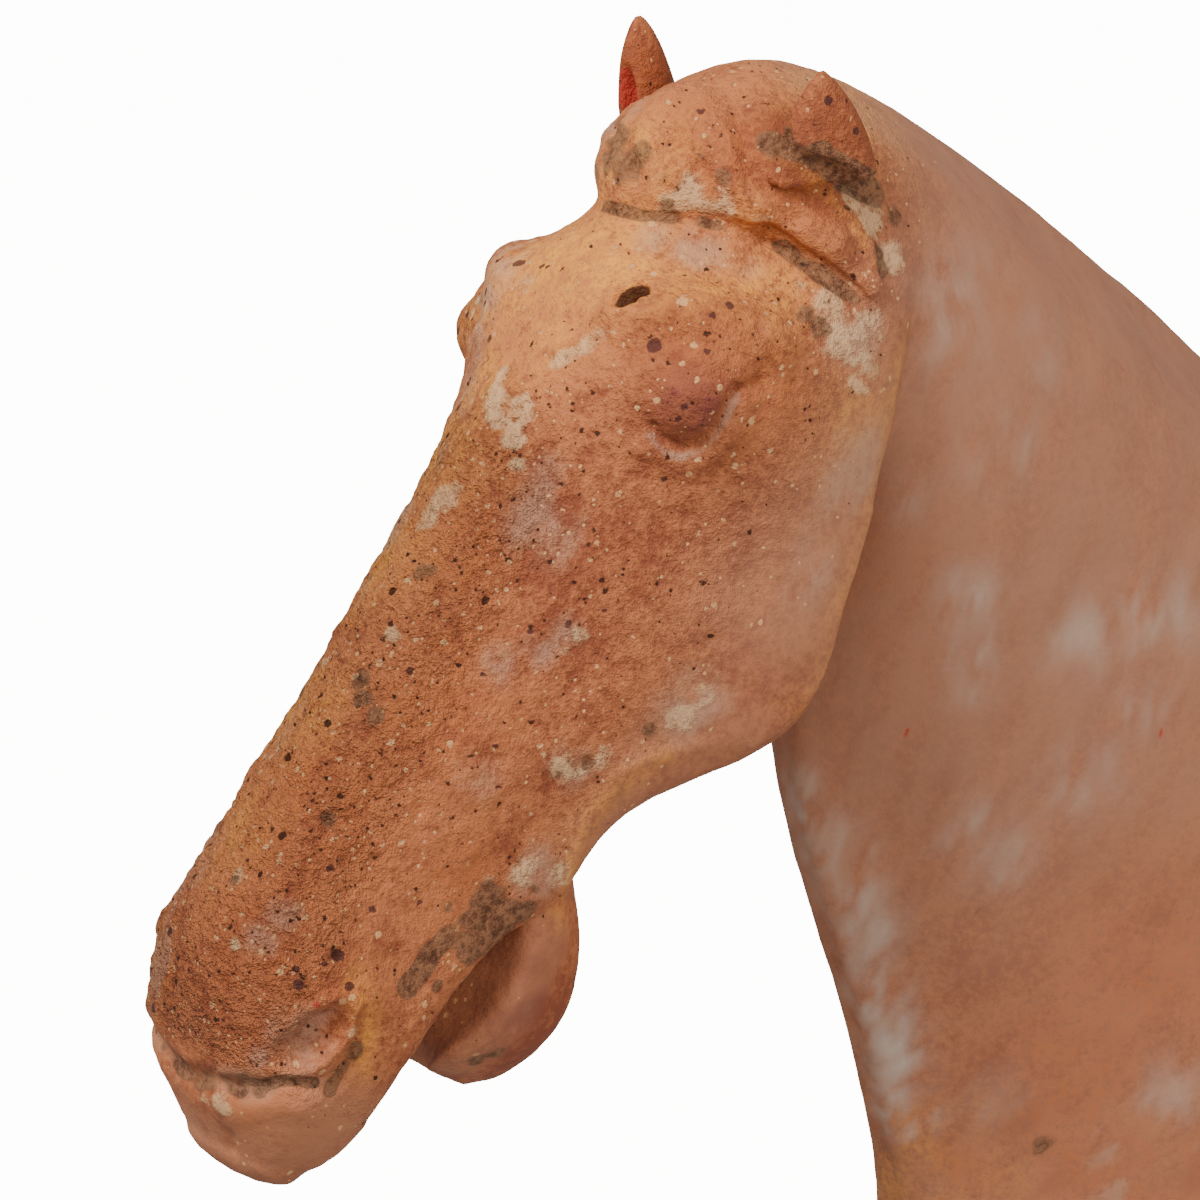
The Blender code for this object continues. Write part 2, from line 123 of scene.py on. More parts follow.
# The lower jaw, in shares on the head's axis: distance, half width, height of the rim, of the bottom
JAW_SECTIONS = [
    (98, 13.4, -14, -30.8),
    (106, 15.3, -18.5, -36.6),
    (112, 15.8, -23, -41.5),
    (118, 15.9, -26, -44.8),
    (123, 15.6, -27, -46.4),
    (128, 14.6, -27.5, -46),
    (133, 12.3, -26.6, -44.4),
    (137, 8.6, -26.6, -41.8),
    (139.4, 4.2, -29.4, -38.6),
]
# Between which distances the floor of the mouth rises, and where it falls away again
FLOOR_SPAN = (112, 118, 131, 138)

# The forelock's middle line on the head as (half width, distance, height), from the middle to the
# lock's tip beside the temple, with its own half breadth and half thickness
LOCK_ROWS = [
    (0, 8.8, 6.4, 12.4, 5.2),
    (7, 8.3, 4.6, 10.2, 4.6),
    (13, 8.6, 0.4, 6.8, 3.8),
    (18.4, 9.2, -5.4, 5, 3.4),
    (22.4, 10.2, -11, 4.2, 2.9),
    (24.8, 12.2, -16, 3, 2.2),
    (25.8, 14.4, -20, 1, 0.9),
]
# The middle of the left ear's base, which is mirrored for the right one, the ears' lean and turn, and
# for each ear its side, how fast its leaf narrows, how full it is, its width in shares of the clay's
# ear width, how far its front is pushed in, how much its base flares, and its base's shift in metres
EAR_PLACE = (19.0, 2.5, -6.4)
EAR_LEAN, EAR_TURN = math.radians(8), math.radians(74)
EARS = {
    "left ear": (1.0, 0.85, 0.62, 1.25, 0.25, 0.4, (0.0022, -0.0012, 0.0002)),
    "right ear": (-1.0, 0.66, 0.60, 1.0, 0.6, 0.7, (0.0, 0.0010, 0.0)),
}

# How many rings each form has, and how many points go round them: after each corner of half a section
# on the head and the neck, and in all on the others
HEAD_RINGS, HEAD_AROUND = 290, (14, 17, 21, 21, 14)
NECK_RINGS, NECK_AROUND = 150, (5, 12, 15, 15, 10, 5)
JAW_RINGS, JAW_AROUND = 84, 96
LOCK_RINGS, LOCK_AROUND = 150, 64
EAR_RINGS, EAR_AROUND = 56, 72
# Where the head's rings end and its rounded tip begins, the tip's rings and its bulge, and the spans of
# the eye and of the muzzle, where the rings lie closer
HEAD_END, TIP_RINGS, TIP_BULGE = 160.4, 10, 3.0
HEAD_BUSY = ((26, 50), (132, 160))

# The eye: its middle, how much of the way across it goes along x and n, and its half axes in mm
EYE, EYE_TILT, EYE_HALF = (26.6, 40.5, 2.6), (-0.55, 0.83), (5.6, 5.2)
# The nostril: its middle as (s, n), its slant and its half axes in mm
NOSTRIL, NOSTRIL_SLANT, NOSTRIL_HALF = (141.0, 5.6), math.radians(24), (5.4, 3.0)

# Ridges and grooves on both sides: a line of places, its half width and its height in mm, which is
# negative in a groove
PAIRED_LINES = {
    "lower lid crease": ([(22.2, 45, 3.6), (23.6, 45.9, 1.4), (25.8, 45.4, -1.1), (28, 42.9, -1.9),
        (29.2, 40.2, -1.6), (29.6, 37.4, -1.2), (29.2, 35, -2.4), (28.4, 32.7, -5.6)], 0.62, -0.9),
    "lower lid": ([(22.6, 48.2, 3), (25.4, 48.2, -1.6), (28.2, 45.4, -4.4),
        (29.6, 41, -4.6)], 1.7, 0.75),
    "brow": ([(13, 34, 10.8), (17.6, 31.5, 9), (21.5, 27.6, 5.6), (25.2, 25.8, 0.6),
        (27.8, 26.6, -6.2)], 2.8, 1),
    "under the brow": ([(17.5, 38, 9.4), (22, 33.4, 6.4), (26.4, 31.6, 1),
        (28.4, 32, -4.4)], 1.8, -0.55),
    "lip groove": ([(18.9, 142.2, -0.9), (18.3, 145, -0.9), (17.7, 146.6, 2.2), (16, 148.2, 5.6),
        (13.4, 150.6, 7.6), (8.5, 152, 8.4), (0, 153.4, 8.2)], 1.25, -1.1),
    "upper lip": ([(17.2, 149.4, -0.4), (14.8, 151.6, 4.2), (9, 155, 5.8), (0, 156.2, 5)], 2, 0.6),
    "jaw ridge": ([(23.8, 80.7, -29.5), (22.1, 84.6, -25.1), (20.9, 88.4, -21.4), (19.8, 93.8, -20.7),
        (19.2, 98.1, -21.4), (18.5, 103.3, -22.4), (17.6, 107.9, -25), (15.6, 111.4, -29)], 1.3, 0.55),
    "cheek edge": ([(26.4, 6, -23), (27.2, 16.4, -27.5), (28, 24.6, -30.7), (28.4, 38, -34.4),
        (28.3, 53.1, -37.7), (27.4, 63, -41), (27.3, 69, -40.2), (25.6, 77, -37.6)], 1.3, 0.5),
}
# The same on the near side alone, as the photograph shows them
NEAR_LINES = {
    "slit under the lock": ([(19.6, 12.9, -3), (21.4, 13.4, -6.4), (23.7, 14.2, -10.6),
        (26, 15, -15.9)], 1.1, -1.6),
    "crack over the forehead": ([(-3, 18.4, 9.4), (4.9, 18, 8.8), (11.8, 15.6, 4.4), (15, 14.6, 1.6),
        (19, 12.8, -2.4)], 0.75, -0.8),
    "groove below the eye": ([(13.4, 49.4, 8.5), (14.1, 55, 7.4), (14.2, 61.6, 6.1)], 1.5, -0.32),
    "flake edge by the brow": ([(7.4, 42.8, 12.1), (9.4, 40.2, 11.7), (12.4, 36.4, 10.9)], 0.8, -0.5),
    "ridge by the brow": ([(5.6, 41.6, 12.7), (8.4, 38.2, 12), (12, 33.6, 11)], 1.1, 0.4),
    "scratch by the temple": ([(28.6, 29, -9.4), (28.4, 31.4, -11.2)], 0.4, -0.45),
    "scratch on the cheek": ([(25.9, 45.2, -7.2), (25.8, 47.8, -8.2)], 0.4, -0.45),
    "band behind the ear": ([(20.4, -1.4, -10), (21.4, 0, -13.4), (22.8, 1.4, -17)], 1.4, -1),
    "pocket behind the lock": ([(24, 6, -17.8), (25.6, 9, -19.6)], 1, -0.9),
    "lock's rear ridge": ([(18.6, 1.6, 0.6), (20.9, 3.8, -6), (23.3, 5.3, -12.6), (26, 8.6, -15.8),
        (26.9, 13.2, -18)], 1.1, 1.2),
    "groove behind the ridge": ([(20, -0.6, -5), (22.1, 2.2, -10.7), (23.2, 2.8, -15.5),
        (25.2, 6.5, -18.6), (26.6, 10.5, -19.8)], 1.1, -1),
    "strand one": ([(6.6, -4, 3), (10.6, -0.4, 3.4), (13.4, 3.4, 3), (16.6, 7.4, 0),
        (19.8, 9.6, -4.8)], 1, -0.9),
    "strand two": ([(2, -1, 8), (5, 3.4, 9.4), (9.6, 8.4, 8), (13.6, 11.2, 3.6)], 1.1, -0.9),
    "strand three": ([(-4, 2, 10.4), (-1, 8, 11.4), (3, 13.6, 10.4), (4.4, 16.6, 9.2)], 1, -0.8),
    "strand four": ([(-7, 6, 9.6), (-5.6, 11, 10.2), (-3.6, 16.4, 9.4)], 0.9, -0.7),
    "nick in the lip": ([(4.6, 158.6, -1.4), (4, 160.6, -3)], 1, -0.7),
}
# Pits on the near side: place, radius and depth in mm
PITS = [
    (25.2, 66.7, -21.7, 0.55, 1.2), (11, 8, 7, 0.9, 0.9), (14, 9.1, 4.5, 1, 0.7),
    (10.5, 113, 13.7, 1.5, 0.6), (14.9, 106.6, 4.6, 1, 0.6), (-0.6, 108, 17.2, 0.7, 0.8),
    (9.8, 109.6, 14.2, 0.6, 0.8), (19.4, 90.1, -15.1, 1, 0.6), (18.7, 93.7, -12.9, 0.9, 0.5),
    (29.4, 35.6, -1.8, 1.2, 0.6), (16.6, 129.3, 7.6, 0.8, 0.7), (1, 81, 14.8, 0.7, 0.7),
    (-3.4, 88, 15.2, 0.9, 0.8), (3, 101.4, 16.6, 0.7, 0.6), (12.4, 76.6, 8.4, 0.6, 0.6),
    (18.2, 88.6, -4.4, 0.6, 0.7), (17.2, 101, -6.6, 0.5, 0.6), (6, 118, 17.4, 0.7, 0.6),
]
# The oval hole over the near eye: its two ends, its half width and its depth in mm
HOLE = ((12.1, 32.3, 10.8), (14.7, 27.8, 9.0))
HOLE_WIDTH, HOLE_DEPTH = 1.5, 3.4
# Low mounds and hollows of the modelling on the near side: place, radius and height in mm
MOUNDS = [
    (11.6, 13, 7.4, 3.6, -0.9), (15.4, 13, 3, 2.6, -0.7), (14, 6, 4.6, 3.4, 0.5),
    (18.6, 8.2, -1.6, 3, 0.8), (22.4, 10, -9, 3, 0.7), (-1.6, 4, 11.4, 4, 0.6),
    (4.6, 9, 10.8, 2.6, -0.5), (-6.6, 9, 9.8, 2.4, -0.4), (9.6, 37.2, 11.6, 2.6, -0.5),
    (4, 31, 12, 3.4, 0.5), (-2, 27, 11.4, 3, -0.3), (17.4, 115, -13.6, 4.2, -0.3),
    (7.4, 97, 14.4, 2.6, -0.3), (17.3, 122, -10.3, 2.6, 0.3), (18.8, 132, 1, 3, 0.4),
    (-7.4, 99, 14.6, 2, -0.5), (-16.5, 136, 9.5, 4.6, 1.3), (-14.5, 129.5, 12, 2.6, -0.5),
    (25.6, 20.6, -9.6, 2, -0.4), (27.2, 22.2, -12.6, 2, -0.4),
]
# Where the clay is broken rough, and where its skin has flaked: soft spots as (x, s, n, radius,
# strength)
BROKEN_SPOTS = [
    (17.5, 1.1, 1.7, 2.2, 0.8), (19.8, 1.6, -0.4, 2.4, 0.9), (21.6, 1.2, -3.6, 2.4, 0.9),
    (22.4, 0.8, -7.4, 2.2, 0.8), (22.6, 0.4, -12, 2.4, 0.7), (18.8, 140.2, -2, 2.6, 0.7),
    (18.3, 145, -1.4, 1.8, 0.5), (18.2, 117, -14.5, 3.2, 0.25),
]
FLAKED_SPOTS = [
    (5.4, 51, 12.6, 3.2, 1), (3, 52.6, 13.6, 2.6, 0.8), (8.6, 57.4, 11.2, 1.6, 0.8),
    (1.8, 65.6, 14.2, 3, 0.7), (4.4, 76.5, 13.8, 3, 0.7),
]

# Where each finish lies on the near side: soft spots as (x, s, n, radius, strength), lines as (places,
# half width, strength), the same lines on both sides, and for the sides that the photograph doesn't
# show the size, threshold and strength of its patches. A finish shows where it is over a half.
FINISHES = {
    "slip": {
        "spots": [
            (5.4, 51, 12.8, 3, 0.57), (1.6, 51.2, 13.8, 2.8, 0.62), (6.9, 54.8, 12.4, 1.8, 0.75),
            (8.8, 57.7, 11.2, 1.3, 0.9), (-6.5, 33.1, 11.9, 2.6, 0.55), (-19.6, 38, 8.6, 2.4, 0.5),
            (1.8, 65.8, 14.3, 2.8, 0.7), (0.6, 69.6, 14.4, 2.2, 0.66), (5.3, 86.4, 14.5, 1.4, 0.8),
            (-4.9, 93.8, 15.2, 1, 0.85), (2.6, 126.3, 18.3, 1.8, 0.7), (7.6, 134, 17, 1.1, 0.9),
            (11.8, 13.4, 7.4, 4, 0.9), (14.4, 13.6, 4.4, 3.4, 0.85), (8.6, 16, 8.4, 2.8, 0.65),
            (18.9, 11.9, -1, 1.9, 0.7), (15.5, 3, 2.8, 1.6, 0.5), (22.2, 2.9, -10.9, 2.2, 0.75),
            (23.2, 3.4, -15.2, 2.8, 0.8), (24.6, 6.8, -20.4, 3, 0.72), (23.9, 17, -8, 1.8, 0.6),
            (26.4, 18, -13.6, 3.4, 0.62), (27.4, 21.6, -15.8, 3.4, 0.66),
            (28.4, 23.6, -21.4, 3.6, 0.52), (27.6, 17.4, -20.4, 3.4, 0.6),
            (17.7, 108.2, -15.9, 3, 0.54), (17.4, 111, -11.4, 1.8, 0.5), (18.6, 106, -21.6, 2.4, 0.5),
            (19.2, 91.4, -13.4, 3.2, 0.62), (20.2, 88.6, -16.8, 2.2, 0.62),
            (23.4, 78.6, -24.2, 3, 0.54), (24.4, 74.6, -24.6, 2.4, 0.52), (6.9, 154.6, 5.9, 2, 0.75),
            (3.4, 155.4, 5.4, 1.5, 0.7), (19.2, 137.8, 0.6, 1.2, 0.5), (18, 76, -4, 2.6, 0.42),
        ],
        "lines": [
            ([(8, 42.6, 12.3), (9.8, 40.6, 11.9), (12.8, 36.6, 11.1)], 1.5, 0.8),
            ([(0.4, 46.6, 13.8), (1.4, 50.4, 13.8), (3.2, 53.4, 13.4)], 1.3, 0.75),
        ],
        "elsewhere": (9, 0.56, 0.62),
    },
    "haze": {
        "spots": [
            (14.2, 64, 6, 7, 0.8), (12.9, 57.8, 8.2, 5, 0.6), (16.8, 79.6, -1, 3.6, 0.9),
            (17.8, 75.4, -3, 4, 0.9), (15.4, 83.9, 3, 4.6, 0.8), (16.4, 98.9, -1.1, 5, 0.7),
            (11.4, 127.4, 14.7, 3.4, 0.9), (10.7, 131.9, 15.9, 3.4, 0.8), (16.2, 140.8, 5.4, 6.4, 1),
            (13.6, 146.4, 9, 3, 0.7), (13.6, 19.2, 3.4, 5, 1), (8.4, 20.4, 6.6, 4.4, 0.8),
            (18.6, 17.6, -1.6, 4, 0.7), (17.7, 107.4, -17.9, 6, 0.8), (19.4, 91.4, -13, 5, 0.7),
            (24, 76.4, -24.3, 7, 0.9), (29.2, 36, -28.8, 9, 0.8), (28.8, 52, -30, 9, 0.6),
            (27.6, 20, -18, 7, 0.9), (11.6, 130.4, -28.4, 2.4, 0.6), (6, 124, -27, 5, 0.5),
            (1, 160.6, -5, 2.4, 0.9),
        ],
        # The first paired line, round the lower lids, is partly whitish slip in the crease and partly
        # painted highlight on the lid's rim
        "paired": [
            ([(22.6, 46.4, 3), (23.6, 47.2, 1.2), (25.7, 47, -1.4), (28, 44.4, -3), (29.3, 40.8, -2.9),
                (29.8, 36.2, -2.2)], 0.8, 0.95),
            ([(17.9, 146.3, 2), (16, 147.9, 5.8), (13.4, 150.5, 7.6), (6, 152, 8.6)], 2.6, 0.7),
        ],
        "elsewhere": (9, 0.22, 0.8),
    },
    "veil": {
        "spots": [
            (23.1, 42.7, -65.8, 5, 0.9), (22.5, 48.2, -72.9, 5, 0.7), (21.5, 52.4, -75.9, 4, 0.6),
            (18.1, 71.8, -94.3, 5, 0.8), (19.8, 73.1, -100.7, 5, 0.7), (26.5, 56.5, -103.1, 6, 0.6),
            (29.4, 44.1, -104.6, 5, 0.8), (27.6, 39.3, -87.2, 6, 0.8), (29.2, 32, -95.7, 6, 0.7),
            (29.7, 26.5, -104.4, 6, 0.7), (14.7, 106.8, -129.9, 5, 0.5), (29.6, 94.7, -150.2, 6, 0.6),
            (20.2, 35.3, -46.5, 4, 0.8), (24.2, 5.5, -55.9, 6, 0.4), (24.4, 7.2, -37, 9, 0.6),
            (26.3, 21.7, -55.4, 7, 0.5),
        ],
        # This line along the edge of the throat's flat strip is partly chalky wash and partly painted
        # highlight
        "lines": [
            ([(1.6, 79.1, -74), (4.6, 86, -88), (5.4, 95.4, -100.7), (4.4, 116.4, -123.5)], 5, 1.4),
        ],
        "elsewhere": (13, 0.3, 0.5),
    },
    "soil": {
        "spots": [
            (17.3, 116, -14.8, 5.2, 0.9), (17.4, 113.5, -12.5, 3.6, 0.85),
            (17.3, 119.5, -12.5, 3.8, 0.8), (17.4, 112.6, -19.6, 2.6, 0.78),
            (16.8, 116.9, -6.6, 1.4, 0.6), (8.9, 97.6, 14.1, 2.2, 0.85), (3.9, 94.4, 15.6, 2.2, 0.66),
            (6.2, 96.2, 15.1, 2.2, 0.7), (10.4, 113.1, 14.2, 1.8, 0.85), (4.5, 76.7, 14, 2.2, 0.7),
            (2.6, 126.3, 18.3, 1.1, 0.8), (16.9, 14.2, -2.2, 1.3, 0.75), (11, 8, 7.6, 1.5, 0.8),
            (14, 9.1, 5.4, 1.9, 0.75), (25.3, 20.6, -9.4, 2, 0.78), (27, 21.8, -12.4, 2.2, 0.8),
            (24.5, 7.5, -17.8, 1.6, 0.8), (22.9, 1.6, -19.6, 1.9, 0.7), (25.3, 9.8, -19, 1.9, 0.75),
            (19, 93.7, -12.9, 1.1, 0.85), (19.8, 90, -15.3, 1.6, 0.85), (21.9, 82.2, -21.3, 1.8, 0.7),
            (18, 109.4, -18.6, 1.2, 0.75), (29.8, 35.2, -1.6, 1.3, 0.8),
            (19.5, 109.4, -140.4, 2.6, 0.75), (16.3, 82.6, -104.4, 1.7, 0.7),
            (18.7, 140.6, -2, 2.3, 0.9), (-8.2, 99, 14.6, 1.8, 0.7), (-4.6, 10.6, 11, 4.6, 0.85),
            (7, 12.6, 9.6, 2.4, 0.6), (2, 12, 11, 3.8, 0.74), (1.1, 14.8, 10.8, 2, 0.7),
            (8.2, 16.1, 7.4, 2, 0.55), (-8, 14, 9.4, 3.4, 0.65), (12.8, 133, -30.6, 2, 0.85),
            (10.6, 134.8, -29.4, 1.8, 0.8), (5.1, 118, -30.6, 2.2, 0.9), (7, 127, -30.6, 2.6, 0.62),
            (-15.8, 60, 4, 1.4, 0.6), (18.2, 127.4, -10.4, 1.3, 0.7), (-17.6, 146, 3, 2.6, 0.6),
            (22.2, 2, -8, 1.8, 0.8),
        ],
        "lines": [
            ([(17.9, 129.2, -5.6), (17.5, 126.2, -6.6), (17.2, 122.4, -7.6), (17, 119, -9.8),
                (17.2, 116, -13)], 1.9, 0.85),
            ([(21.2, 13.6, -5.6), (22.4, 14, -7.8), (24.2, 14.6, -11.4),
                (26.4, 15.4, -16.4)], 1.3, 1.2),
            ([(16.6, 1, 2.6), (19, 1.6, 0.2), (21.4, 1.2, -3.9), (22.4, 0.8, -9),
                (22.6, 0.1, -15.1)], 2.2, 1),
            ([(-3, 18.4, 9.8), (4.9, 18, 9.2), (11.8, 15.6, 5), (15, 14.6, 1.8)], 1, 0.85),
            ([(19, 140.2, -2.4), (18.9, 142.4, -0.9), (18.4, 146.4, -0.6)], 1.1, 0.85),
            ([(13.4, 150.5, 7.6), (8.5, 151.9, 8.4), (0, 153.5, 8), (-9, 152, 8.4)], 1.7, 0.75),
        ],
        "paired": [
            ([(17.9, 146.3, 2), (16, 147.9, 5.8), (13.4, 150.5, 7.6)], 0.9, 0.85),
        ],
        "elsewhere": (8, 0.64, 0.7),
    },
    "buff": {
        "spots": [
            (3.2, 26, 9.6, 12, 1.2), (-6, 30, 10.6, 12, 1.2), (10, 27, 9, 8, 1.1),
            (17, 24.6, 4.6, 7, 0.9), (22, 20.6, -3.6, 7, 0.8), (4.3, 38, 12.8, 8, 0.7),
            (-4.6, 48.6, 13.2, 8, 0.9), (-6, 60, 13, 9, 0.9), (-6, 78, 13.6, 9, 0.8),
            (-6, 100, 15, 9, 0.7), (-4, 120, 17.6, 7, 0.5), (-14, 34, 11, 10, 0.8),
            (-4.6, 14, 10.6, 9, 1), (3, 11, 11, 7, 0.9), (-10, 120, 15, 7, 0.5), (-14, 140, 10, 9, 0.4),
            (16.8, 12.8, 0, 4, 0.5), (15.6, 28.6, 9.4, 4.4, 0.9), (28.8, 30, -24, 8, 0.4),
            (-21, 40, 7, 7, 0.6), (16, -6, -12, 7, 0.5), (5, -12, -12, 14, 0.5),
        ],
        # Painted highlights: these lines lighten the cheek's edge, the jaw's ridge, the rim behind the
        # nostril and the lock's rear ridge
        "lines": [
            ([(27.2, 16.4, -27.5), (28, 24.6, -30.7), (28.4, 38, -34.4), (28.3, 53.1, -37.7),
                (27.4, 63, -41), (27.3, 69, -40.2)], 2.4, 0.4),
            ([(22.1, 84.6, -25.1), (19.8, 93.8, -20.7), (18.5, 103.3, -22.4),
                (15.6, 111.4, -29)], 2, 0.5),
            ([(19.6, 131, 4), (19.4, 135, 0), (18.6, 141, -4)], 2, 0.7),
            ([(18, 2.2, 1.4), (21, 4.2, -6), (23.4, 5.8, -12.6), (26.4, 9.6, -16)], 1.4, 0.4),
        ],
        "elsewhere": (22, 0.3, 0.35),
    },
    "bright": {
        "spots": [
            (23, 31, 5, 9, 0.9), (28, 33, -8, 8, 0.6), (29.8, 74, -133.3, 18, 0.8),
            (21.8, 98.5, -135.2, 16, 0.8), (17.8, 133.3, 7.2, 8, 0.9), (10, 132, 15, 12, 0.9),
            (8, 112, 15, 12, 0.9), (12, 92, 10, 12, 0.8), (6, 72, 13, 9, 0.7), (-14, 132, 10, 10, 0.9),
            (-10, 112, 12, 10, 0.7), (10, 4, 6, 10, 0.7), (20, 6, -4, 7, 0.7), (20, -4, -1, 7, 0.9),
            (-20, -4, -1, 8, 1), (16, 112, -8, 8, 0.6), (14, 144, 12, 6, 0.7),
        ],
        "elsewhere": (12, 0.1, 0.7),
    },
    "stain": {
        "spots": [
            (26.4, 40.5, 3.4, 5.6, 1.25), (22, 31.5, 7, 6, 0.3), (16.6, 128.6, 8, 3.6, 0.5),
            (12, 140, 12, 6, 0.35), (15.4, 122.8, -32.4, 4.4, 0.6), (14.4, 128, -34, 4.4, 0.6),
            (11.4, 133, -36, 5, 0.5), (15.4, 119, -28, 3.4, 0.6), (14.6, 127, -28.6, 3, 0.5),
            (15.6, 115.4, -31, 2.4, 0.45), (9, 135, 15, 5, 0.3), (11, 159, -6, 6, 0.2),
            (6, 157.4, 1, 4, 0.3),
        ],
        "elsewhere": (9, 0.3, 0.35),
    },
    "red": {
        "spots": [
            (-19.4, -0.9, -0.2, 2.2, 1.2), (-18.6, 1, -1, 2, 1.1), (-20, -3.4, 1.2, 1.6, 1),
            (-16.4, -0.6, 2.3, 2, 1), (-17.2, -3.4, 4.2, 1.7, 1), (-16.8, 1.2, 1, 1.8, 1),
            (16.8, -1.4, 2.7, 0.8, 0.8), (18.3, 136.4, 8.1, 0.9, 0.9), (28.8, 36.3, -93.9, 1.6, 0.5),
            (15.6, 63.5, -75.4, 1.4, 0.5), (30, 46.2, -109.8, 1.4, 0.5),
        ],
        "elsewhere": (4, 0.95, 0),
    },
}
# Finishes that fade out; the others end crisply
SOFT_FINISHES = ("haze", "veil", "buff", "bright", "stain")
# Lighter and darker bells of the clay's tone on both sides, as (x, s, n, radius, strength); the darkest
# bell, on the ears, is painted shade
TONES_AND_EAR_SHADE = [
    (19, 58, -2, 15, -0.2), (24, 30, 5, 9, -0.16), (16, 115, 0, 9, 0.15), (10, 62, 9, 12, -0.15),
    (17, 3, 0, 8, -0.15), (14, 154, 0, 11, 0.35), (2, 29, 11, 12, 0.45), (0, 76, 14.6, 9, 0.3),
    # The bell at (20, -4, -2) is painted shade: it darkens both ears for the shadow on the far ear,
    # which faces away from the light
    (17, 7, 1, 8, -0.05), (20, -4, -2, 7, -0.7), (8, 108, 14, 15, 0.2), (17.5, 145, -5, 6, 0.3),
    (13, 127, -38, 11, -0.45), (20.4, 91.5, -22.7, 8, 0.12), (6, -4, 4, 9, 0.22),
    (24.4, 7.2, -40, 14, 0.3),
]
# Single grains of grog on the near side: place and radius in mm, purple-brown ones and cream ones
GROG = [
    (20.6, 35.3, 8.4, 1.05), (22.8, 25.5, 1.4, 0.65), (23.8, 28.1, 4.1, 0.6), (26.8, 33, 4.3, 0.5),
    (27, 41.3, 3.9, 0.6), (26.2, 43, 3.1, 0.5), (16.8, 129.3, 7.8, 0.9), (16.2, 135, 11.1, 0.75),
    (18.4, 132.4, 4.5, 0.65), (15.9, 121.6, 5, 0.6), (18, 74.4, -2.5, 0.7), (6.7, 1.3, 8.9, 0.7),
    (20.8, -6, 0.6, 0.7), (21.8, -4.4, -4.4, 0.55), (17, 77.6, 2.4, 0.5), (16.6, 94, -1.4, 0.5),
    (17.8, 118, -1, 0.55), (12.4, 119, 12, 0.6), (15.6, 133.4, 12.4, 0.5), (17.4, 131, 9.6, 0.45),
    (14.6, 86, 4.6, 0.55), (19.6, 70.4, -6, 0.45), (24.2, 50.6, -2, 0.5), (9.6, 90, 13.4, 0.6),
]
CREAM = [
    (20.1, 28.2, 6.8, 0.85), (23.4, 41.9, 5.8, 0.5), (24.8, 33, 5.4, 0.55), (24.4, 36, 5.6, 0.45),
    (27.6, 36.6, 0.4, 0.5), (26.6, 48.6, -4, 0.55), (17.6, 133.6, 2.6, 0.55), (18.3, 134.6, 4.4, 0.5),
    (17.3, 119, -9.6, 0.55), (17.2, 124, -11.6, 0.5), (14.4, 134.6, 13.6, 0.5), (13.2, 70.6, 8.4, 0.5),
    (16, 90.8, 1.6, 0.5), (11.4, 84.4, 11.8, 0.5), (5.6, 90.8, 15, 0.6), (16.6, 105.6, 2, 0.45),
    (15, 113, 8, 0.45), (18.6, 82, -8, 0.45), (13.4, 126.4, 13.2, 0.5), (7.6, 105, 15.6, 0.5),
]
# How many more grains of each lie on the sides that the photograph doesn't show, and their radii in mm
HIDDEN_GRAINS = {"grog": (GROG, 90), "cream": (CREAM, 120)}
HIDDEN_RADII = (0.35, 0.75)

# The sine and cosine of the head's slope, which turn (s, n) to the depth below the poll
DOWN_S, DOWN_N = 0.829, 0.559
# How many edges far each kind of seam is smoothed, and what is left of its weight after each edge
SPREADS = {"seam": (3, 0.8), "fold": (5, 0.85), "ear": (7, 0.88), "temple": (18, 0.92)}
# How far from the middle an ear's points are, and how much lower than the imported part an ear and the
# whole may end before they count as not joined, all in metres
EAR_SIDE, EAR_SHORT, BODY_SHORT = 0.014, 0.004, 0.003
# The camera's aim in front of the poll and under it, and how far off the lights are, in metres; each
# light's azimuth and elevation in degrees and its size in metres
AIM_FORWARD, AIM_DOWN, LIGHT_DISTANCE = 0.020, 0.068, 0.9
LIGHTS = {"key": (8, 50, 0.35), "fill": (85, 25, 0.6)}
# How far over or under a place the surface still belongs to it, in mm, and what stands for out of reach
SKIN, FAR = 5, 1e3
# What scatters the number of a lattice's corner: a prime for each axis, a factor for the seed, and two
# rounds of a shift and a factor, kept to 31 bits
AXIS_PRIMES, SEED_FACTOR = np.array([73856093, 19349663, 83492791]), 9781
SCATTER_ROUNDS = ((13, 1274126177), (15, 668265263))
BITS = 0x7FFFFFFF


def cubic(t, here, after, leaving, arriving, width=1.0):
    """From here to after as t goes from 0 to 1, with those slopes at its ends over that width: the sum
    of each times its Hermite cubic."""
    return ((1 + 2 * t) * (1 - t) ** 2 * here + t * t * (3 - 2 * t) * after
            + t * (1 - t) ** 2 * width * leaving + t * t * (t - 1) * width * arriving)


def smooth(rows, at):
    """Values between the rows: each stretch is a cubic whose end slopes are the neighbours' chord."""
    table = np.asarray(rows, dtype=float)
    place, values = table[:, 0], table[:, 1:]
    slopes = np.gradient(values, place, axis=0)
    index = np.clip(np.searchsorted(place, at, side="right") - 1, 0, len(place) - 2)
    width = (place[index + 1] - place[index])[:, None]
    t = (np.asarray(at)[:, None] - place[index][:, None]) / width
    return cubic(t, values[index], values[index + 1], slopes[index], slopes[index + 1], width)


def along_rows(rows, count):
    """That many rows, evenly along the smooth curve through the given ones."""
    rows = np.asarray(rows, dtype=float)
    number = np.arange(len(rows))[:, None]
    return smooth(np.concatenate([number, rows], axis=1), np.linspace(0, len(rows) - 1, count))


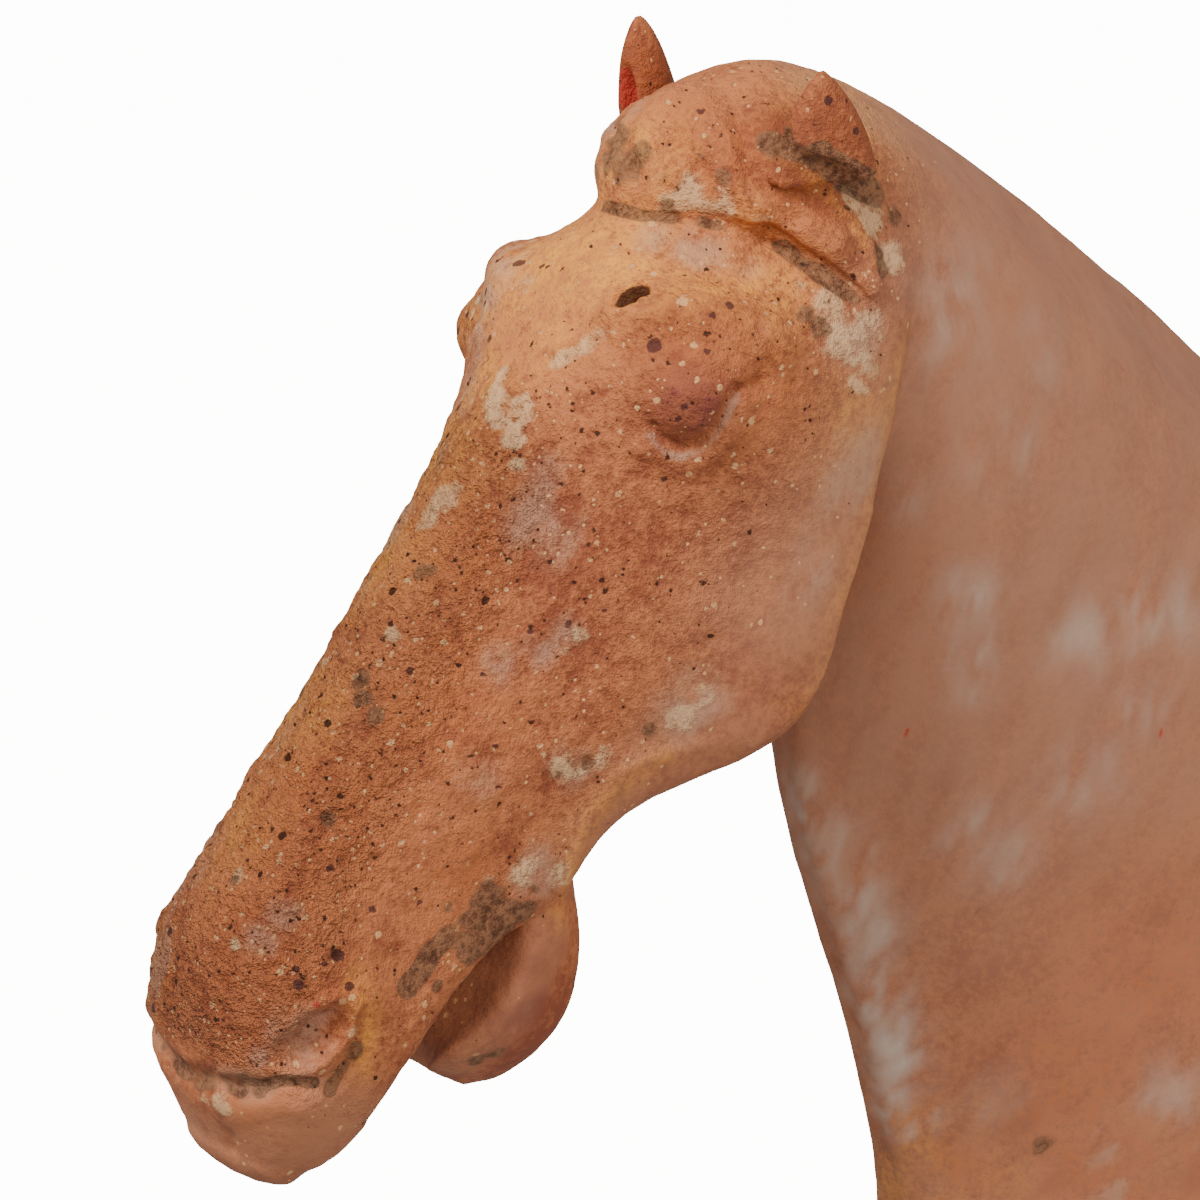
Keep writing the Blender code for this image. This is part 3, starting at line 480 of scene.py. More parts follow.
def whole_rings(half, counts):
    """Closed periodic cubics through the corners of half a section and its mirror image, with
    counts[k] points after corner k."""
    corners = np.concatenate([half, half[:, -2:0:-1] * np.array([-1.0, 1.0])], axis=1)
    number = corners.shape[1]
    around = counts + counts[::-1]
    place = np.concatenate([k + np.arange(count) / count for k, count in enumerate(around)])
    index = place.astype(int)
    t = (place - index)[None, :, None]
    before, here, after, beyond = [corners[:, (index + step) % number] for step in (-1, 0, 1, 2)]
    return cubic(t, here, after, (after - before) / 2, (beyond - here) / 2)


def ramp(value, start, end):
    """0 before start and 1 after end, with a cubic that is level at both."""
    t = np.clip((value - start) / (end - start), 0, 1)
    return t * t * (3 - 2 * t)


def crowded(first, last, count, busy, crowding=1.9):
    """Places from first to last, crowding times as close together within the busy spans."""
    fine = np.linspace(first, last, 40 * count)
    density = np.ones_like(fine)
    for start, end in busy:
        density += (crowding - 1) * ramp(fine, start - 5, start) * (1 - ramp(fine, end, end + 5))
    passed = np.concatenate([[0.0], np.cumsum((density[1:] + density[:-1]) / 2)])
    return np.interp(np.linspace(0, passed[-1], count), passed, fine)


def relaxed(grid, times):
    """The grid with each inner point moved halfway to the mean of its four neighbours, times over."""
    for _ in range(times):
        around = (np.roll(grid, 1, axis=1) + np.roll(grid, -1, axis=1))[1:-1]
        grid[1:-1] = 0.5 * grid[1:-1] + 0.125 * (around + grid[2:] + grid[:-2])
    return grid


def normals(grid):
    """Outward unit normals of a grid of rings: the cross product of its two differences."""
    along = np.gradient(grid, axis=0)
    around = (np.roll(grid, -1, axis=1) - np.roll(grid, 1, axis=1)) / 2
    normal = np.cross(around, along)
    if (normal * (grid - grid.mean(axis=1, keepdims=True))).sum() < 0:
        normal = -normal
    return normal / np.maximum(np.linalg.norm(normal, axis=2, keepdims=True), 1e-9)


def lumps(points, size, seed):
    """Value noise from -1 to 1: a random value at each corner of a lattice of that size in mm,
    blended between the corners by the cubic 3t^2 - 2t^3."""
    scaled = points / size
    cell = np.floor(scaled).astype(np.int64)
    t = scaled - cell
    t = t * t * (3 - 2 * t)
    total = np.zeros(points.shape[:-1])
    for corner in range(8):
        step = np.array([corner & 1, corner >> 1 & 1, corner >> 2 & 1])
        weight = np.prod(np.where(step == 1, t, 1 - t), axis=-1)
        key = ((cell + step) * AXIS_PRIMES).sum(axis=-1) + seed * SEED_FACTOR
        for shift, factor in SCATTER_ROUNDS:
            key = (key ^ (key >> shift)) * factor & BITS
        total += weight * (key / (BITS // 2) - 1)
    return total


def outward_at(place):
    """Unit vector away from the head's middle line at a place; none on the neck, which has no use
    for it."""
    x, s, n = place
    away = np.array([x, 0.0, n + 12.0]) * (n > -45)
    return away / max(np.linalg.norm(away), 1e-9)


def along_skin(apart, outward):
    """Length of each way without its part along the outward vector, so that the bottom of a hollow
    counts as well as its rim; FAR where that part is longer than SKIN."""
    lift = apart @ outward
    flat = np.sqrt(np.maximum((apart ** 2).sum(axis=-1) - lift ** 2, 0))
    return np.where(np.abs(lift) < SKIN, flat, FAR)


def spot_distance(points, spot):
    """Distance of each point from a spot, along the surface."""
    return along_skin(points - np.asarray(spot), outward_at(spot))


def line_distance(points, line, reach=6.0):
    """Distance of each point from a smooth curve through the places, along the surface: the least over
    its short straight steps, for the points within reach of the curve's own box."""
    drawn = along_rows(line, 4 * len(line))
    nearest = np.full(points.shape[:-1], FAR)
    close = ((points > drawn.min(axis=0) - reach) & (points < drawn.max(axis=0) + reach)).all(axis=-1)
    here, least = points[close], nearest[close]
    for start, end in zip(drawn[:-1], drawn[1:]):
        way = end - start
        t = np.clip((here - start) @ way / (way @ way), 0, 1)
        least = np.minimum(least, along_skin(here - start - t[..., None] * way, outward_at(start)))
    nearest[close] = least
    return nearest


def blotches(points, rows, power=4):
    """The highest of round soft spots at each point: strength times exp(-(distance / radius)^power)."""
    value = np.zeros(points.shape[:-1])
    for x, s, n, radius, strength in rows:
        far = np.linalg.norm(points - np.array([x, s, n]), axis=-1) / radius
        value = np.maximum(value, strength * np.exp(-far ** power))
    return value


def cones(points, rows):
    """The highest of cones that are 1 in a spot's middle and a half at its radius."""
    value = np.zeros(points.shape[:-1])
    for x, s, n, radius in rows:
        value = np.maximum(value, 1 - 0.5 * spot_distance(points, (x, s, n)) / radius)
    return value


def to_world(place, clay):
    """Metres in the row frame from places on the head."""
    share = clay.head_length / HEAD_SHARES
    x, s, n = place[..., 0], place[..., 1], place[..., 2]
    y = -clay.poll_forward - share * (s * math.cos(clay.head_slope) + n * math.sin(clay.head_slope))
    z = clay.poll_height - share * (s * math.sin(clay.head_slope) - n * math.cos(clay.head_slope))
    return np.stack([share * x, y, z], axis=-1)


def to_places(world, clay):
    """Places on the head from metres in the row frame: to_world turned round."""
    share = clay.head_length / HEAD_SHARES
    forward = -(world[..., 1] + clay.poll_forward) / share
    down = (clay.poll_height - world[..., 2]) / share
    s = forward * math.cos(clay.head_slope) + down * math.sin(clay.head_slope)
    n = forward * math.sin(clay.head_slope) - down * math.cos(clay.head_slope)
    return np.stack([world[..., 0] / share, s, n], axis=-1)


def mirrored(points):
    """Places with their far side folded onto the near side."""
    return np.stack([np.abs(points[..., 0]), points[..., 1], points[..., 2]], axis=-1)


def eye_relief(place, clay):
    """The eyeball's low dome, which falls off as 1 minus the cubic ramp of the distance from its
    middle, measured longer along the head than across it."""
    along = place[..., 1] - EYE[1]
    up = EYE_TILT[1] * (place[..., 2] - EYE[2]) + EYE_TILT[0] * (place[..., 0] - EYE[0])
    radius = np.hypot(along / EYE_HALF[0], up / EYE_HALF[1])
    near = (place[..., 0] > 8) & (place[..., 2] > -20)
    return clay.eyeball_rise * 1000 * (1 - ramp(radius, 0.25, 1.15)) * near


def nostril_relief(place, clay):
    """An oval hollow, slanting up and back, inside a raised rim that is highest behind it: the
    hollow falls off as exp(-r^5) and the rim as a bell round r = 1.35."""
    along, up = place[..., 1] - NOSTRIL[0], place[..., 2] - NOSTRIL[1]
    long_way = along * math.cos(NOSTRIL_SLANT) + up * math.sin(NOSTRIL_SLANT)
    short_way = -along * math.sin(NOSTRIL_SLANT) + up * math.cos(NOSTRIL_SLANT)
    radius = np.hypot(long_way / NOSTRIL_HALF[0], short_way / NOSTRIL_HALF[1])
    hollow = -clay.nostril_depth * 1000 * np.exp(-radius ** 5)
    rim = 0.8 * np.exp(-((radius - 1.35) / 0.26) ** 2) * (0.35 + 0.65 * ramp(-long_way, -2, 4))
    return (hollow + rim) * (place[..., 0] > 9)


def hole_radius(place):
    """Distance along the surface from the middle of the hole over the eye, 1 at its oval rim, and 9
    where the surface isn't the hole's own."""
    ends = np.array(HOLE)
    middle, way = ends.mean(axis=0), ends[1] - ends[0]
    half = np.linalg.norm(way) / 2
    outward = outward_at(middle)
    way -= outward * (way @ outward)
    way /= np.linalg.norm(way)
    apart = place - middle
    along, across = apart @ way, apart @ np.cross(way, outward)
    return np.where(np.abs(apart @ outward) < 6, np.hypot(along / half, across / HOLE_WIDTH), 9.0)


def carving(place, clay):
    """How far the surface is moved outward in mm: the eyes and nostrils, a bell of each line's
    height across it, a bell of each mound's, exp(-r^6) for the pits, a crisp oval hole with a low
    lip, strands of noise in the forelock, and rougher noise where the clay is broken or flaked."""
    both = mirrored(place)
    move = eye_relief(both, clay) + nostril_relief(both, clay)
    for points, lines in ((both, PAIRED_LINES), (place, NEAR_LINES)):
        for line, width, height in lines.values():
            move += height * np.exp(-(line_distance(points, line) / width) ** 2)
    for x, s, n, radius, height in MOUNDS:
        far = np.linalg.norm(place - np.array([x, s, n]), axis=-1) / radius
        move += height * np.exp(-far ** 2)
    for x, s, n, radius, depth in PITS:
        move -= depth * np.exp(-(spot_distance(place, (x, s, n)) / radius) ** 6)
    rim = hole_radius(place)
    move += 0.35 * np.exp(-((rim - 1.3) / 0.3) ** 2) - HOLE_DEPTH * np.exp(-rim ** 5)
    lock = ramp(-place[..., 1], -20, -12) * ramp(place[..., 1], -8, 2) * (place[..., 2] > -24)
    move += 0.5 * lock * (lumps(place, 3.4, 10) + 0.6 * lumps(place, 1.7, 11))
    move += blotches(place, BROKEN_SPOTS) * (
        1.1 * lumps(place, 1.9, 5) + 0.6 * lumps(place, 0.9, 6) - 0.5)
    return move + blotches(place, FLAKED_SPOTS) * (0.4 * lumps(place, 1.4, 7) - 0.25)


def coarseness(place):
    """How coarse the clay's skin is: 1 along the bridge of the nose, a half on the rest of the face,
    and least on the neck and the lip, which were smoothed with wet slip."""
    s, n = place[..., 1], place[..., 2]
    face = ramp(n, -34, -12) * ramp(s, -24, -10) * (1 - 0.8 * ramp(s, 147, 153))
    bridge = ramp(n, 3, 12) * ramp(s, 44, 62) * (1 - ramp(s, 146, 151))
    return 0.15 + 0.35 * face + 0.5 * bridge


def unevenness(place, clay):
    """The hand's touch in the clay: noise of four sizes in mm, the fine ones by the coarseness."""
    swell = 0.5 * lumps(place, 17.0, 1) + 0.35 * lumps(place, 7.0, 2)
    fine = 0.55 * lumps(place, 2.8, 3) + 0.6 * lumps(place, 1.3, 4)
    return clay.unevenness * 1000 * (swell + fine * coarseness(place))


def finish_amount(number, where, soft, place, both, unseen):
    """One finish's amount before its edges are frayed: the highest of its spots and lines, and of
    patches of value noise over a threshold on the unseen sides. With r the distance over the radius,
    a soft finish falls off as exp(-r^2) and a crisp one as exp(-r^4)."""
    power = 2 if soft else 4
    value = blotches(place, where["spots"], power)
    for points, lines in ((place, where.get("lines", ())), (both, where.get("paired", ()))):
        for line, width, strength in lines:
            far = np.minimum(line_distance(points, line) / width, 9)
            along = strength * (1 + 0.5 * lumps(points, 3.4, 50 + number))
            value = np.maximum(value, along * np.exp(-far ** power))
    size, threshold, strength = where["elsewhere"]
    patches = 0.7 * lumps(place, size, 20 + number) + 0.3 * lumps(place, size / 3, 40 + number)
    patches = strength * ramp(patches, threshold - 0.2, threshold + 0.2) * unseen
    return np.maximum(value, patches)


def clay_tone_and_ear_shade(place, both, streaks):
    """The clay's tone, about a half: noise of 18, 5 and 2.2 mm, streaks, and the bells of the tone
    table, whose darkest bell is painted shade on the ears.
    """
    tone = 0.55 + 0.18 * lumps(place, 18.0, 34) + 0.22 * lumps(place, 5.0, 35) + (
        0.15 * lumps(place, 2.2, 36) + 0.12 * streaks)
    for *spot, radius, strength in TONES_AND_EAR_SHADE:
        tone += strength * np.exp(-((both - np.array(spot)) ** 2).sum(axis=1) / radius ** 2)
    return tone


def paleness_and_mouth_light(s, n, depth, ears):
    """Where the clay is paler and duller, from 0 to 1: the highest of ramps on the neck, the crest, the
    rear of the cheek, the underside of the jaw, the lip and the mouth. The mouth's ramp is painted
    light: a lighter colour inside the mouth, which lies in the head's shade."""
    neck = ramp(-n - 0.35 * np.maximum(s - 20, 0), 20.0, 38.0) * (1 - 0.35 * ramp(depth, 95.0, 150.0))
    crest = ramp(-s, 4.0, 11.0) * ramp(-n, -2.0, 10.0) * ~ears
    cheek = 0.75 * ramp(-n, 6.0, 30.0) * ramp(-s, -78.0, -58.0)
    under = 0.55 * ramp(-n, 14.0, 24.0) * ramp(s, 60.0, 80.0) * ramp(-s, -112.0, -104.0)
    lip = 0.6 * ramp(s, 139.0, 149.0) * ramp(-n, -8.0, 0.0)
    # Painted light: a lighter colour inside the mouth, standing for light where the jaw lies in the
    # head's shade
    mouth = 0.5 * ramp(s, 108.0, 114.0) * ramp(-n, 20.0, 24.0) * ramp(n, -34.0, -30.0)
    return np.max([neck, crest, cheek, under, lip, mouth], axis=0)


def finish_values(place):
    """How much of each finish lies at each point, with the clay's tone, how pale and how coarse it is,
    its holes and its grains; the tone holds painted shade on the ears, the pale share holds painted
    light inside the mouth, and the holes hold painted shade. Noise of 3 and 1.3 mm frays the edges of a
    crisp finish, and streaks along the head, six times as long as wide, break up a soft one. The veil
    on the neck is broken up by noise of 4 and 1.8 mm."""
    depth = place[:, 1] * DOWN_S - place[:, 2] * DOWN_N
    both = mirrored(place)
    x, s, n = both.T
    ears = (x > 13) & (s < 2) & (n > -9)
    unseen = np.maximum(ramp(-place[:, 0], 1.0, 7.0), ramp(depth, 158.0, 172.0)) * ~ears
    streaks = lumps(place * np.array([1.0, 1 / 6, 1.0]), 2.4, 31)
    fray = 0.2 * lumps(place, 3.0, 32) + 0.16 * lumps(place, 1.3, 33)
    values = {}
    for number, (name, where) in enumerate(FINISHES.items()):
        soft = name in SOFT_FINISHES
        value = finish_amount(number, where, soft, place, both, unseen)
        if name == "veil":
            broken = lumps(place, 4.0, 37) + 0.7 * lumps(place, 1.8, 38)
            value = value * np.clip(0.5 + 0.8 * broken + 0.3 * streaks, 0, 1.2)
        elif soft:
            value = value * np.clip(0.75 + 0.45 * streaks + fray, 0, 1.2)
        else:
            value = value + (2.0 if name == "slip" else 1.3) * fray * ramp(value, 0.0, 0.3)
        values[name] = np.clip(value, 0, 1.5)
    values["tone"] = clay_tone_and_ear_shade(place, both, streaks)
    values["pale"] = paleness_and_mouth_light(s, n, depth, ears) * np.clip(0.9 + 0.2 * streaks, 0, 1)
    values["coarse"] = coarseness(place)
    # The hole mask: where painted shade darkens the small pits and the hole over the eye
    small_pits = [row[:4] for row in PITS if row[3] < 0.8]
    values["hole"] = np.maximum(cones(place, small_pits), 1 - 0.5 * hole_radius(place))
    chance = np.random.default_rng(5)
    hidden = place[(unseen > 0.9) & (values["coarse"] > 0.4) & (s > 4)]
    for name, (rows, count) in HIDDEN_GRAINS.items():
        spots = hidden[chance.integers(0, len(hidden), count)]
        radii = chance.uniform(*HIDDEN_RADII, count)
        grains = rows + [tuple(spot) + (radius,) for spot, radius in zip(spots, radii)]
        values[name] = cones(place, grains)
    return values


def closed_mesh(name, rings, caps):
    """A closed mesh from a grid of rings, with a fan to a middle point at each end."""
    count, around, _ = rings.shape
    points = np.concatenate([rings.reshape(-1, 3), np.asarray(caps)])
    row = np.arange(count - 1)[:, None] * around
    column = np.arange(around)[None, :]
    following = (column + 1) % around
    quads = np.stack([row + column, row + following, row + around + following, row + around + column],
                     axis=-1).reshape(-1, 4)
    last = (count - 1) * around
    first_fan = np.stack([following[0], column[0], np.full(around, count * around)], axis=-1)
    last_fan = np.stack([last + column[0], last + following[0], np.full(around, count * around + 1)],
                        axis=-1)
    corners = points[quads]
    spread = np.cross(corners[:, 1] - corners[:, 0], corners[:, 3] - corners[:, 0])
    if (spread * (corners[:, 0] - points.mean(axis=0))).sum() < 0:
        quads, first_fan, last_fan = quads[:, ::-1], first_fan[:, ::-1], last_fan[:, ::-1]
    mesh = bpy.data.meshes.new(name)
    mesh.from_pydata(points, [], quads.tolist() + first_fan.tolist() + last_fan.tolist())
    mesh.update()
    return mesh


def finished_rings(rings, clay, carved):
    """Rings in metres from rings of places, moved outward by the carving and the unevenness. The
    ears are so thin that moving them could fold them, so they have their own broken surface."""
    if carved:
        move = unevenness(rings, clay) + carving(rings, clay)
        rings = rings + normals(rings) * move[..., None]
    return to_world(rings, clay)


def head_rings():
    """The head: closed curves through each section's ten corners, carried down the head's axis. Beyond
    the last one the rings shrink as a cosine and move on as a sine, to a rounded tip."""
    stations = crowded(0.0, HEAD_END, HEAD_RINGS, HEAD_BUSY)
    values = smooth(HEAD_SECTIONS, stations)
    zero = np.zeros(len(stations))
    half = np.stack([np.stack([zero, values[:, 0]], axis=1)]
                    + [values[:, k:k + 2] for k in (1, 3, 5, 7)]
                    + [np.stack([zero, values[:, 9]], axis=1)], axis=1)
    flat = whole_rings(half, HEAD_AROUND)
    distance = np.broadcast_to(stations[:, None], flat.shape[:2])
    rings = relaxed(np.stack([flat[..., 0], distance, flat[..., 1]], axis=-1), 6)
    middle = rings[-1].mean(axis=0)
    turn = np.linspace(0, np.pi / 2, TIP_RINGS + 2)[1:-1, None, None]
    tip = middle + (rings[-1:] - middle) * np.cos(turn)
    tip[..., 1] += TIP_BULGE * np.sin(turn[..., 0])
    return relaxed(np.concatenate([rings, tip]), 8)


def neck_rings(clay):
    """The neck: closed curves through each section's corners, carried from the forelock to the cut."""
    values = along_rows(NECK_SECTIONS, NECK_RINGS)
    levels = np.broadcast_to(np.array(NECK_LEVELS), (len(values), len(NECK_LEVELS)))
    zero = np.zeros((len(values), 1))
    widths = np.concatenate([zero, values[:, 4:9], zero], axis=1)
    flat = whole_rings(np.stack([widths, levels], axis=-1), NECK_AROUND)
    crest, throat = values[:, None, 0:2], values[:, None, 2:4]
    line = throat + flat[..., 1:2] * (crest - throat)
    share = clay.head_length / HEAD_SHARES
    world = np.stack([share * flat[..., 0], share * line[..., 0] - clay.poll_forward,
                      clay.poll_height + share * line[..., 1]], axis=-1)
    return relaxed(to_places(world, clay), 6)


def jaw_rings(clay):
    """The lower jaw: half-round sections with a rolled rim, and between the rims the floor of the
    mouth, which rises as a power of the sine."""
    stations = np.linspace(JAW_SECTIONS[0][0], JAW_SECTIONS[-1][0], JAW_RINGS)
    width, rim, bottom = smooth(JAW_SECTIONS, stations).T[:, :, None]
    angle = np.linspace(0, 2 * np.pi, JAW_AROUND, endpoint=False)[None, :]
    across = width * np.cos(angle)
    below, above = np.clip(-np.sin(angle), 0, 1), np.clip(np.sin(angle), 0, 1)
    start, full, fading, end = FLOOR_SPAN
    span = (ramp(stations, start, full) * (1 - ramp(stations, fading, end)))[:, None]
    roll = 1.2 * ramp(above, 0.0, 0.42) * (1 - ramp(above, 0.45, 0.9))
    height = rim - below * (rim - bottom) + roll + clay.mouth_floor * 1000 * span * above ** 2.2
    return np.stack(np.broadcast_arrays(across, stations[:, None], height), axis=-1).copy()


def forelock_rings():
    """The forelock: a squared oval carried over the forehead from one temple's lock to the other, with
    its front and rear sloping off."""
    half = np.asarray(LOCK_ROWS)
    rows = np.concatenate([half[:0:-1] * np.array([-1.0, 1.0, 1.0, 1.0, 1.0]), half])
    values = along_rows(rows, LOCK_RINGS)
    middle = values[:, 0:3]
    along = np.gradient(middle, axis=0)
    along /= np.linalg.norm(along, axis=1, keepdims=True)
    flat = np.array([0.0, 1.0, 0.0]) - along * along[:, 1:2]
    flat /= np.linalg.norm(flat, axis=1, keepdims=True)
    outward = np.cross(along, flat)
    angle = np.linspace(0, 2 * np.pi, LOCK_AROUND, endpoint=False)[None, :, None]
    square = np.sign(np.sin(angle)) * np.abs(np.sin(angle)) ** 0.75
    slope = 0.55 * np.clip(-np.cos(angle), 0, 1) ** 1.5 + 0.5 * np.clip(np.cos(angle), 0, 1) ** 3
    return (middle[:, None] + values[:, 3][:, None, None] * np.cos(angle) * flat[:, None]
            + values[:, 4][:, None, None] * (square - slope) * outward[:, None])


def ear_rings(name, clay):
    """An ear: a leaf whose half width is (1 - h)^narrowing (1 + fullness h) at the height h, each
    section an oval whose front end is pushed in to a hollow between two lips. Its base flares as
    exp(-h / 0.35). The left ear's front is broken off rough under a slanting edge."""
    side, narrowing, fullness, breadth, push, flare, shift = EARS[name]
    length = clay.ear_length - (clay.left_ear_loss if side > 0 else 0.0)
    width = breadth * clay.ear_width
    height = np.linspace(0, 0.985, EAR_RINGS)[:, None]
    angle = np.linspace(0, 2 * np.pi, EAR_AROUND, endpoint=False)[None, :]
    leaf = (1 - height) ** narrowing * (1 + fullness * height)
    front = np.exp(-((np.abs(angle - np.pi)) / 0.42) ** 2) * ramp(1 - height, 0.25, 0.6)
    wide = width / 2 * leaf * (np.cos(angle) + push * front)
    wide = wide * (1 + flare * (np.exp(-height / 0.35) * ramp(-side * np.cos(angle), 0.0, 0.6)))
    deep = width * leaf * 0.27 * np.sin(angle)

    def noise(steepness, size, seed):
        """Value noise by the half width in mm and the height times a steepness."""
        over = np.broadcast_arrays(wide * 1000, steepness * height, 0 * deep)
        return lumps(np.stack(over, axis=-1), size, seed)

    if side > 0:
        edge = 0.225 - 0.275 * np.cos(angle) + 0.05 * noise(20, 2.2, 8)
        broken = ramp(edge - height, -0.04, 0.05) * ramp(-np.sin(angle), -0.7, -0.1)
        wide = wide * (1 - 0.08 * broken)
        deep = deep + broken * np.abs(deep) * (0.55 + 0.14 * noise(18, 1.1, 9))
    deep = deep - 0.0012 * (wide / width * 2) ** 2
    up = np.array([0.7 * math.sin(EAR_LEAN), -0.7 * math.sin(EAR_LEAN), math.cos(EAR_LEAN)])
    up /= np.linalg.norm(up)
    across = np.array([math.cos(EAR_TURN), math.sin(EAR_TURN), 0.0])
    across -= up * (up @ across)
    across /= np.linalg.norm(across)
    base = to_world(np.array(EAR_PLACE), clay) + np.array(shift)
    world = base + (height * length)[..., None] * up + wide[..., None] * across + deep[
        ..., None] * np.cross(up, across)
    return to_places(world * np.array([side, 1.0, 1.0]), clay)


def softened(points, edges, weight, times):
    """Points moved by their weight towards the mean of their neighbours along the edges, times over."""
    degree = np.bincount(edges.ravel(), minlength=len(points))[:, None]
    for _ in range(times):
        total = np.zeros_like(points)
        np.add.at(total, edges[:, 0], points[edges[:, 1]])
        np.add.at(total, edges[:, 1], points[edges[:, 0]])
        points = points + weight[:, None] * (total / degree - points)
    return points


def read(rows, name, columns=1, kind=np.int32):
    """One attribute of a mesh's points, edges, corners or faces as an array of that many columns."""
    values = np.zeros(len(rows) * columns, kind)
    rows.foreach_get(name, values)
    return values if columns == 1 else values.reshape(-1, columns)


def form_range(mesh):
    """The lowest and the highest number of the forms whose faces meet at each point."""
    corner = read(mesh.loops, "vertex_index")
    each = np.repeat(read(mesh.polygons, "material_index"), read(mesh.polygons, "loop_total"))
    lowest = np.full(len(mesh.vertices), 99)
    highest = np.full(len(mesh.vertices), -1)
    np.minimum.at(lowest, corner, each)
    np.maximum.at(highest, corner, each)
    return lowest, highest


def spread(weight, edges, reach, fade):
    """The weight carried along the edges, reach steps far, times fade at each step."""
    for _ in range(reach):
        grown = weight.copy()
        np.maximum.at(grown, edges[:, 0], weight[edges[:, 1]] * fade)
        np.maximum.at(grown, edges[:, 1], weight[edges[:, 0]] * fade)
        weight = grown
    return weight


def joined(forms):
    """One mesh of all the forms: Boolean unions on the first, whose faces keep their form's number."""
    for number, form in enumerate(forms):
        for slot in range(len(forms)):
            form.data.materials.append(None)
        form.data.polygons.foreach_set("material_index", [number] * len(form.data.polygons))
    body = forms[0]
    for form in forms[1:]:
        union = body.modifiers.new("join " + form.name, "BOOLEAN")
        union.operation = "UNION"
        union.solver = "MANIFOLD"
        union.object = form
    evaluated = body.evaluated_get(bpy.context.evaluated_depsgraph_get())
    mesh = bpy.data.meshes.new_from_object(evaluated)
    for form in forms:
        bpy.data.objects.remove(form)
    return mesh


def set_values(mesh, name, values):
    """Stores one number a point in the mesh, for the materials to read."""
    layer = mesh.attributes.new(name, "FLOAT", "POINT")
    layer.data.foreach_set("value", values.astype(np.float32))


def seams_smoothed(points, edges, lowest, highest, names, clay):
    """Points with the seams between the forms smoothed as by hand: every seam a little, except where
    the cheek's edge stands over the neck, then the forelock into the forehead and the ears' front
    into the hair, and last the temple widely into the neck."""
    neck, ears = names.index("neck"), [number for number, name in enumerate(names) if name in EARS]
    s = to_places(points, clay)[:, 1]
    temple = 1 - ramp(s, 34.0, 52.0)
    cheek_edge = (lowest == 0) & (highest == neck)
    ear = np.isin(lowest, ears) | np.isin(highest, ears)
    seam = np.where(ear, 0.4 + 0.6 * ramp(s, -2.0, 1.5), 1.0)
    seam = np.where(cheek_edge, 0.3 + 0.7 * temple, seam) * (highest > lowest)
    off_the_cut = points[:, 2] > 0.0002
    points = softened(points, edges, 0.6 * spread(seam, edges, *SPREADS["seam"]) * off_the_cut, 8)
    x, s, n = to_places(points, clay).T
    fold = (lowest == 0) & (highest == names.index("forelock"))
    blend = spread(fold.astype(float), edges, *SPREADS["fold"]) * (1 - ramp(np.abs(x), 9.0, 15.0))
    front = (ear & (s > 3.0)).astype(float)
    blend = np.maximum(blend, spread(front, edges, *SPREADS["ear"]))
    points = softened(points, edges, 0.5 * blend, 14)
    blend = spread(np.where(cheek_edge, temple, 0.0), edges, *SPREADS["temple"])
    blend *= (highest == 0) | (lowest == neck) | cheek_edge
    return softened(points, edges, 0.5 * blend, 50)


def build_clay(clay):
    """The whole bust as one mesh, its seams smoothed by hand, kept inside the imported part's box."""
    grids = {"head": head_rings(), "left ear": ear_rings("left ear", clay),
             "right ear": ear_rings("right ear", clay), "neck": neck_rings(clay),
             "forelock": forelock_rings(), "jaw": jaw_rings(clay)}
    forms = []
    for name, rings in grids.items():
        world = finished_rings(rings, clay, name not in EARS)
        if name == "neck":
            world[-1] = world[-2]
            world[-1, :, 2] = 0.0
        caps = world[0].mean(axis=0), world[-1].mean(axis=0)
        form = bpy.data.objects.new(name, closed_mesh(name, world, caps))
        bpy.context.collection.objects.link(form)
        forms.append(form)
    mesh = joined(forms)
    points = read(mesh.vertices, "co", 3, float)
    edges = read(mesh.edges, "vertices", 2)
    lowest, highest = form_range(mesh)
    tops = [points[side * points[:, 0] > EAR_SIDE, 2].max() for side in (1, -1)]
    if NODE_HIGH[2] - min(tops) > EAR_SHORT:
        raise RuntimeError("an ear could not be joined")
    reached = NODE_HIGH[2] - points[:, 2].max(), points[:, 2].min(), points[:, 1].min() - NODE_LOW[1]
    if max(reached) > BODY_SHORT:
        raise RuntimeError("the forms of the head could not be joined")
    points = seams_smoothed(points, edges, lowest, highest, list(grids), clay)
    points = np.clip(points, np.array(NODE_LOW), np.array(NODE_HIGH))
    mesh.vertices.foreach_set("co", points.ravel())
    mesh.materials.clear()
    mesh.update()
    for name, values in finish_values(to_places(points, clay)).items():
        set_values(mesh, name, values)
    return mesh


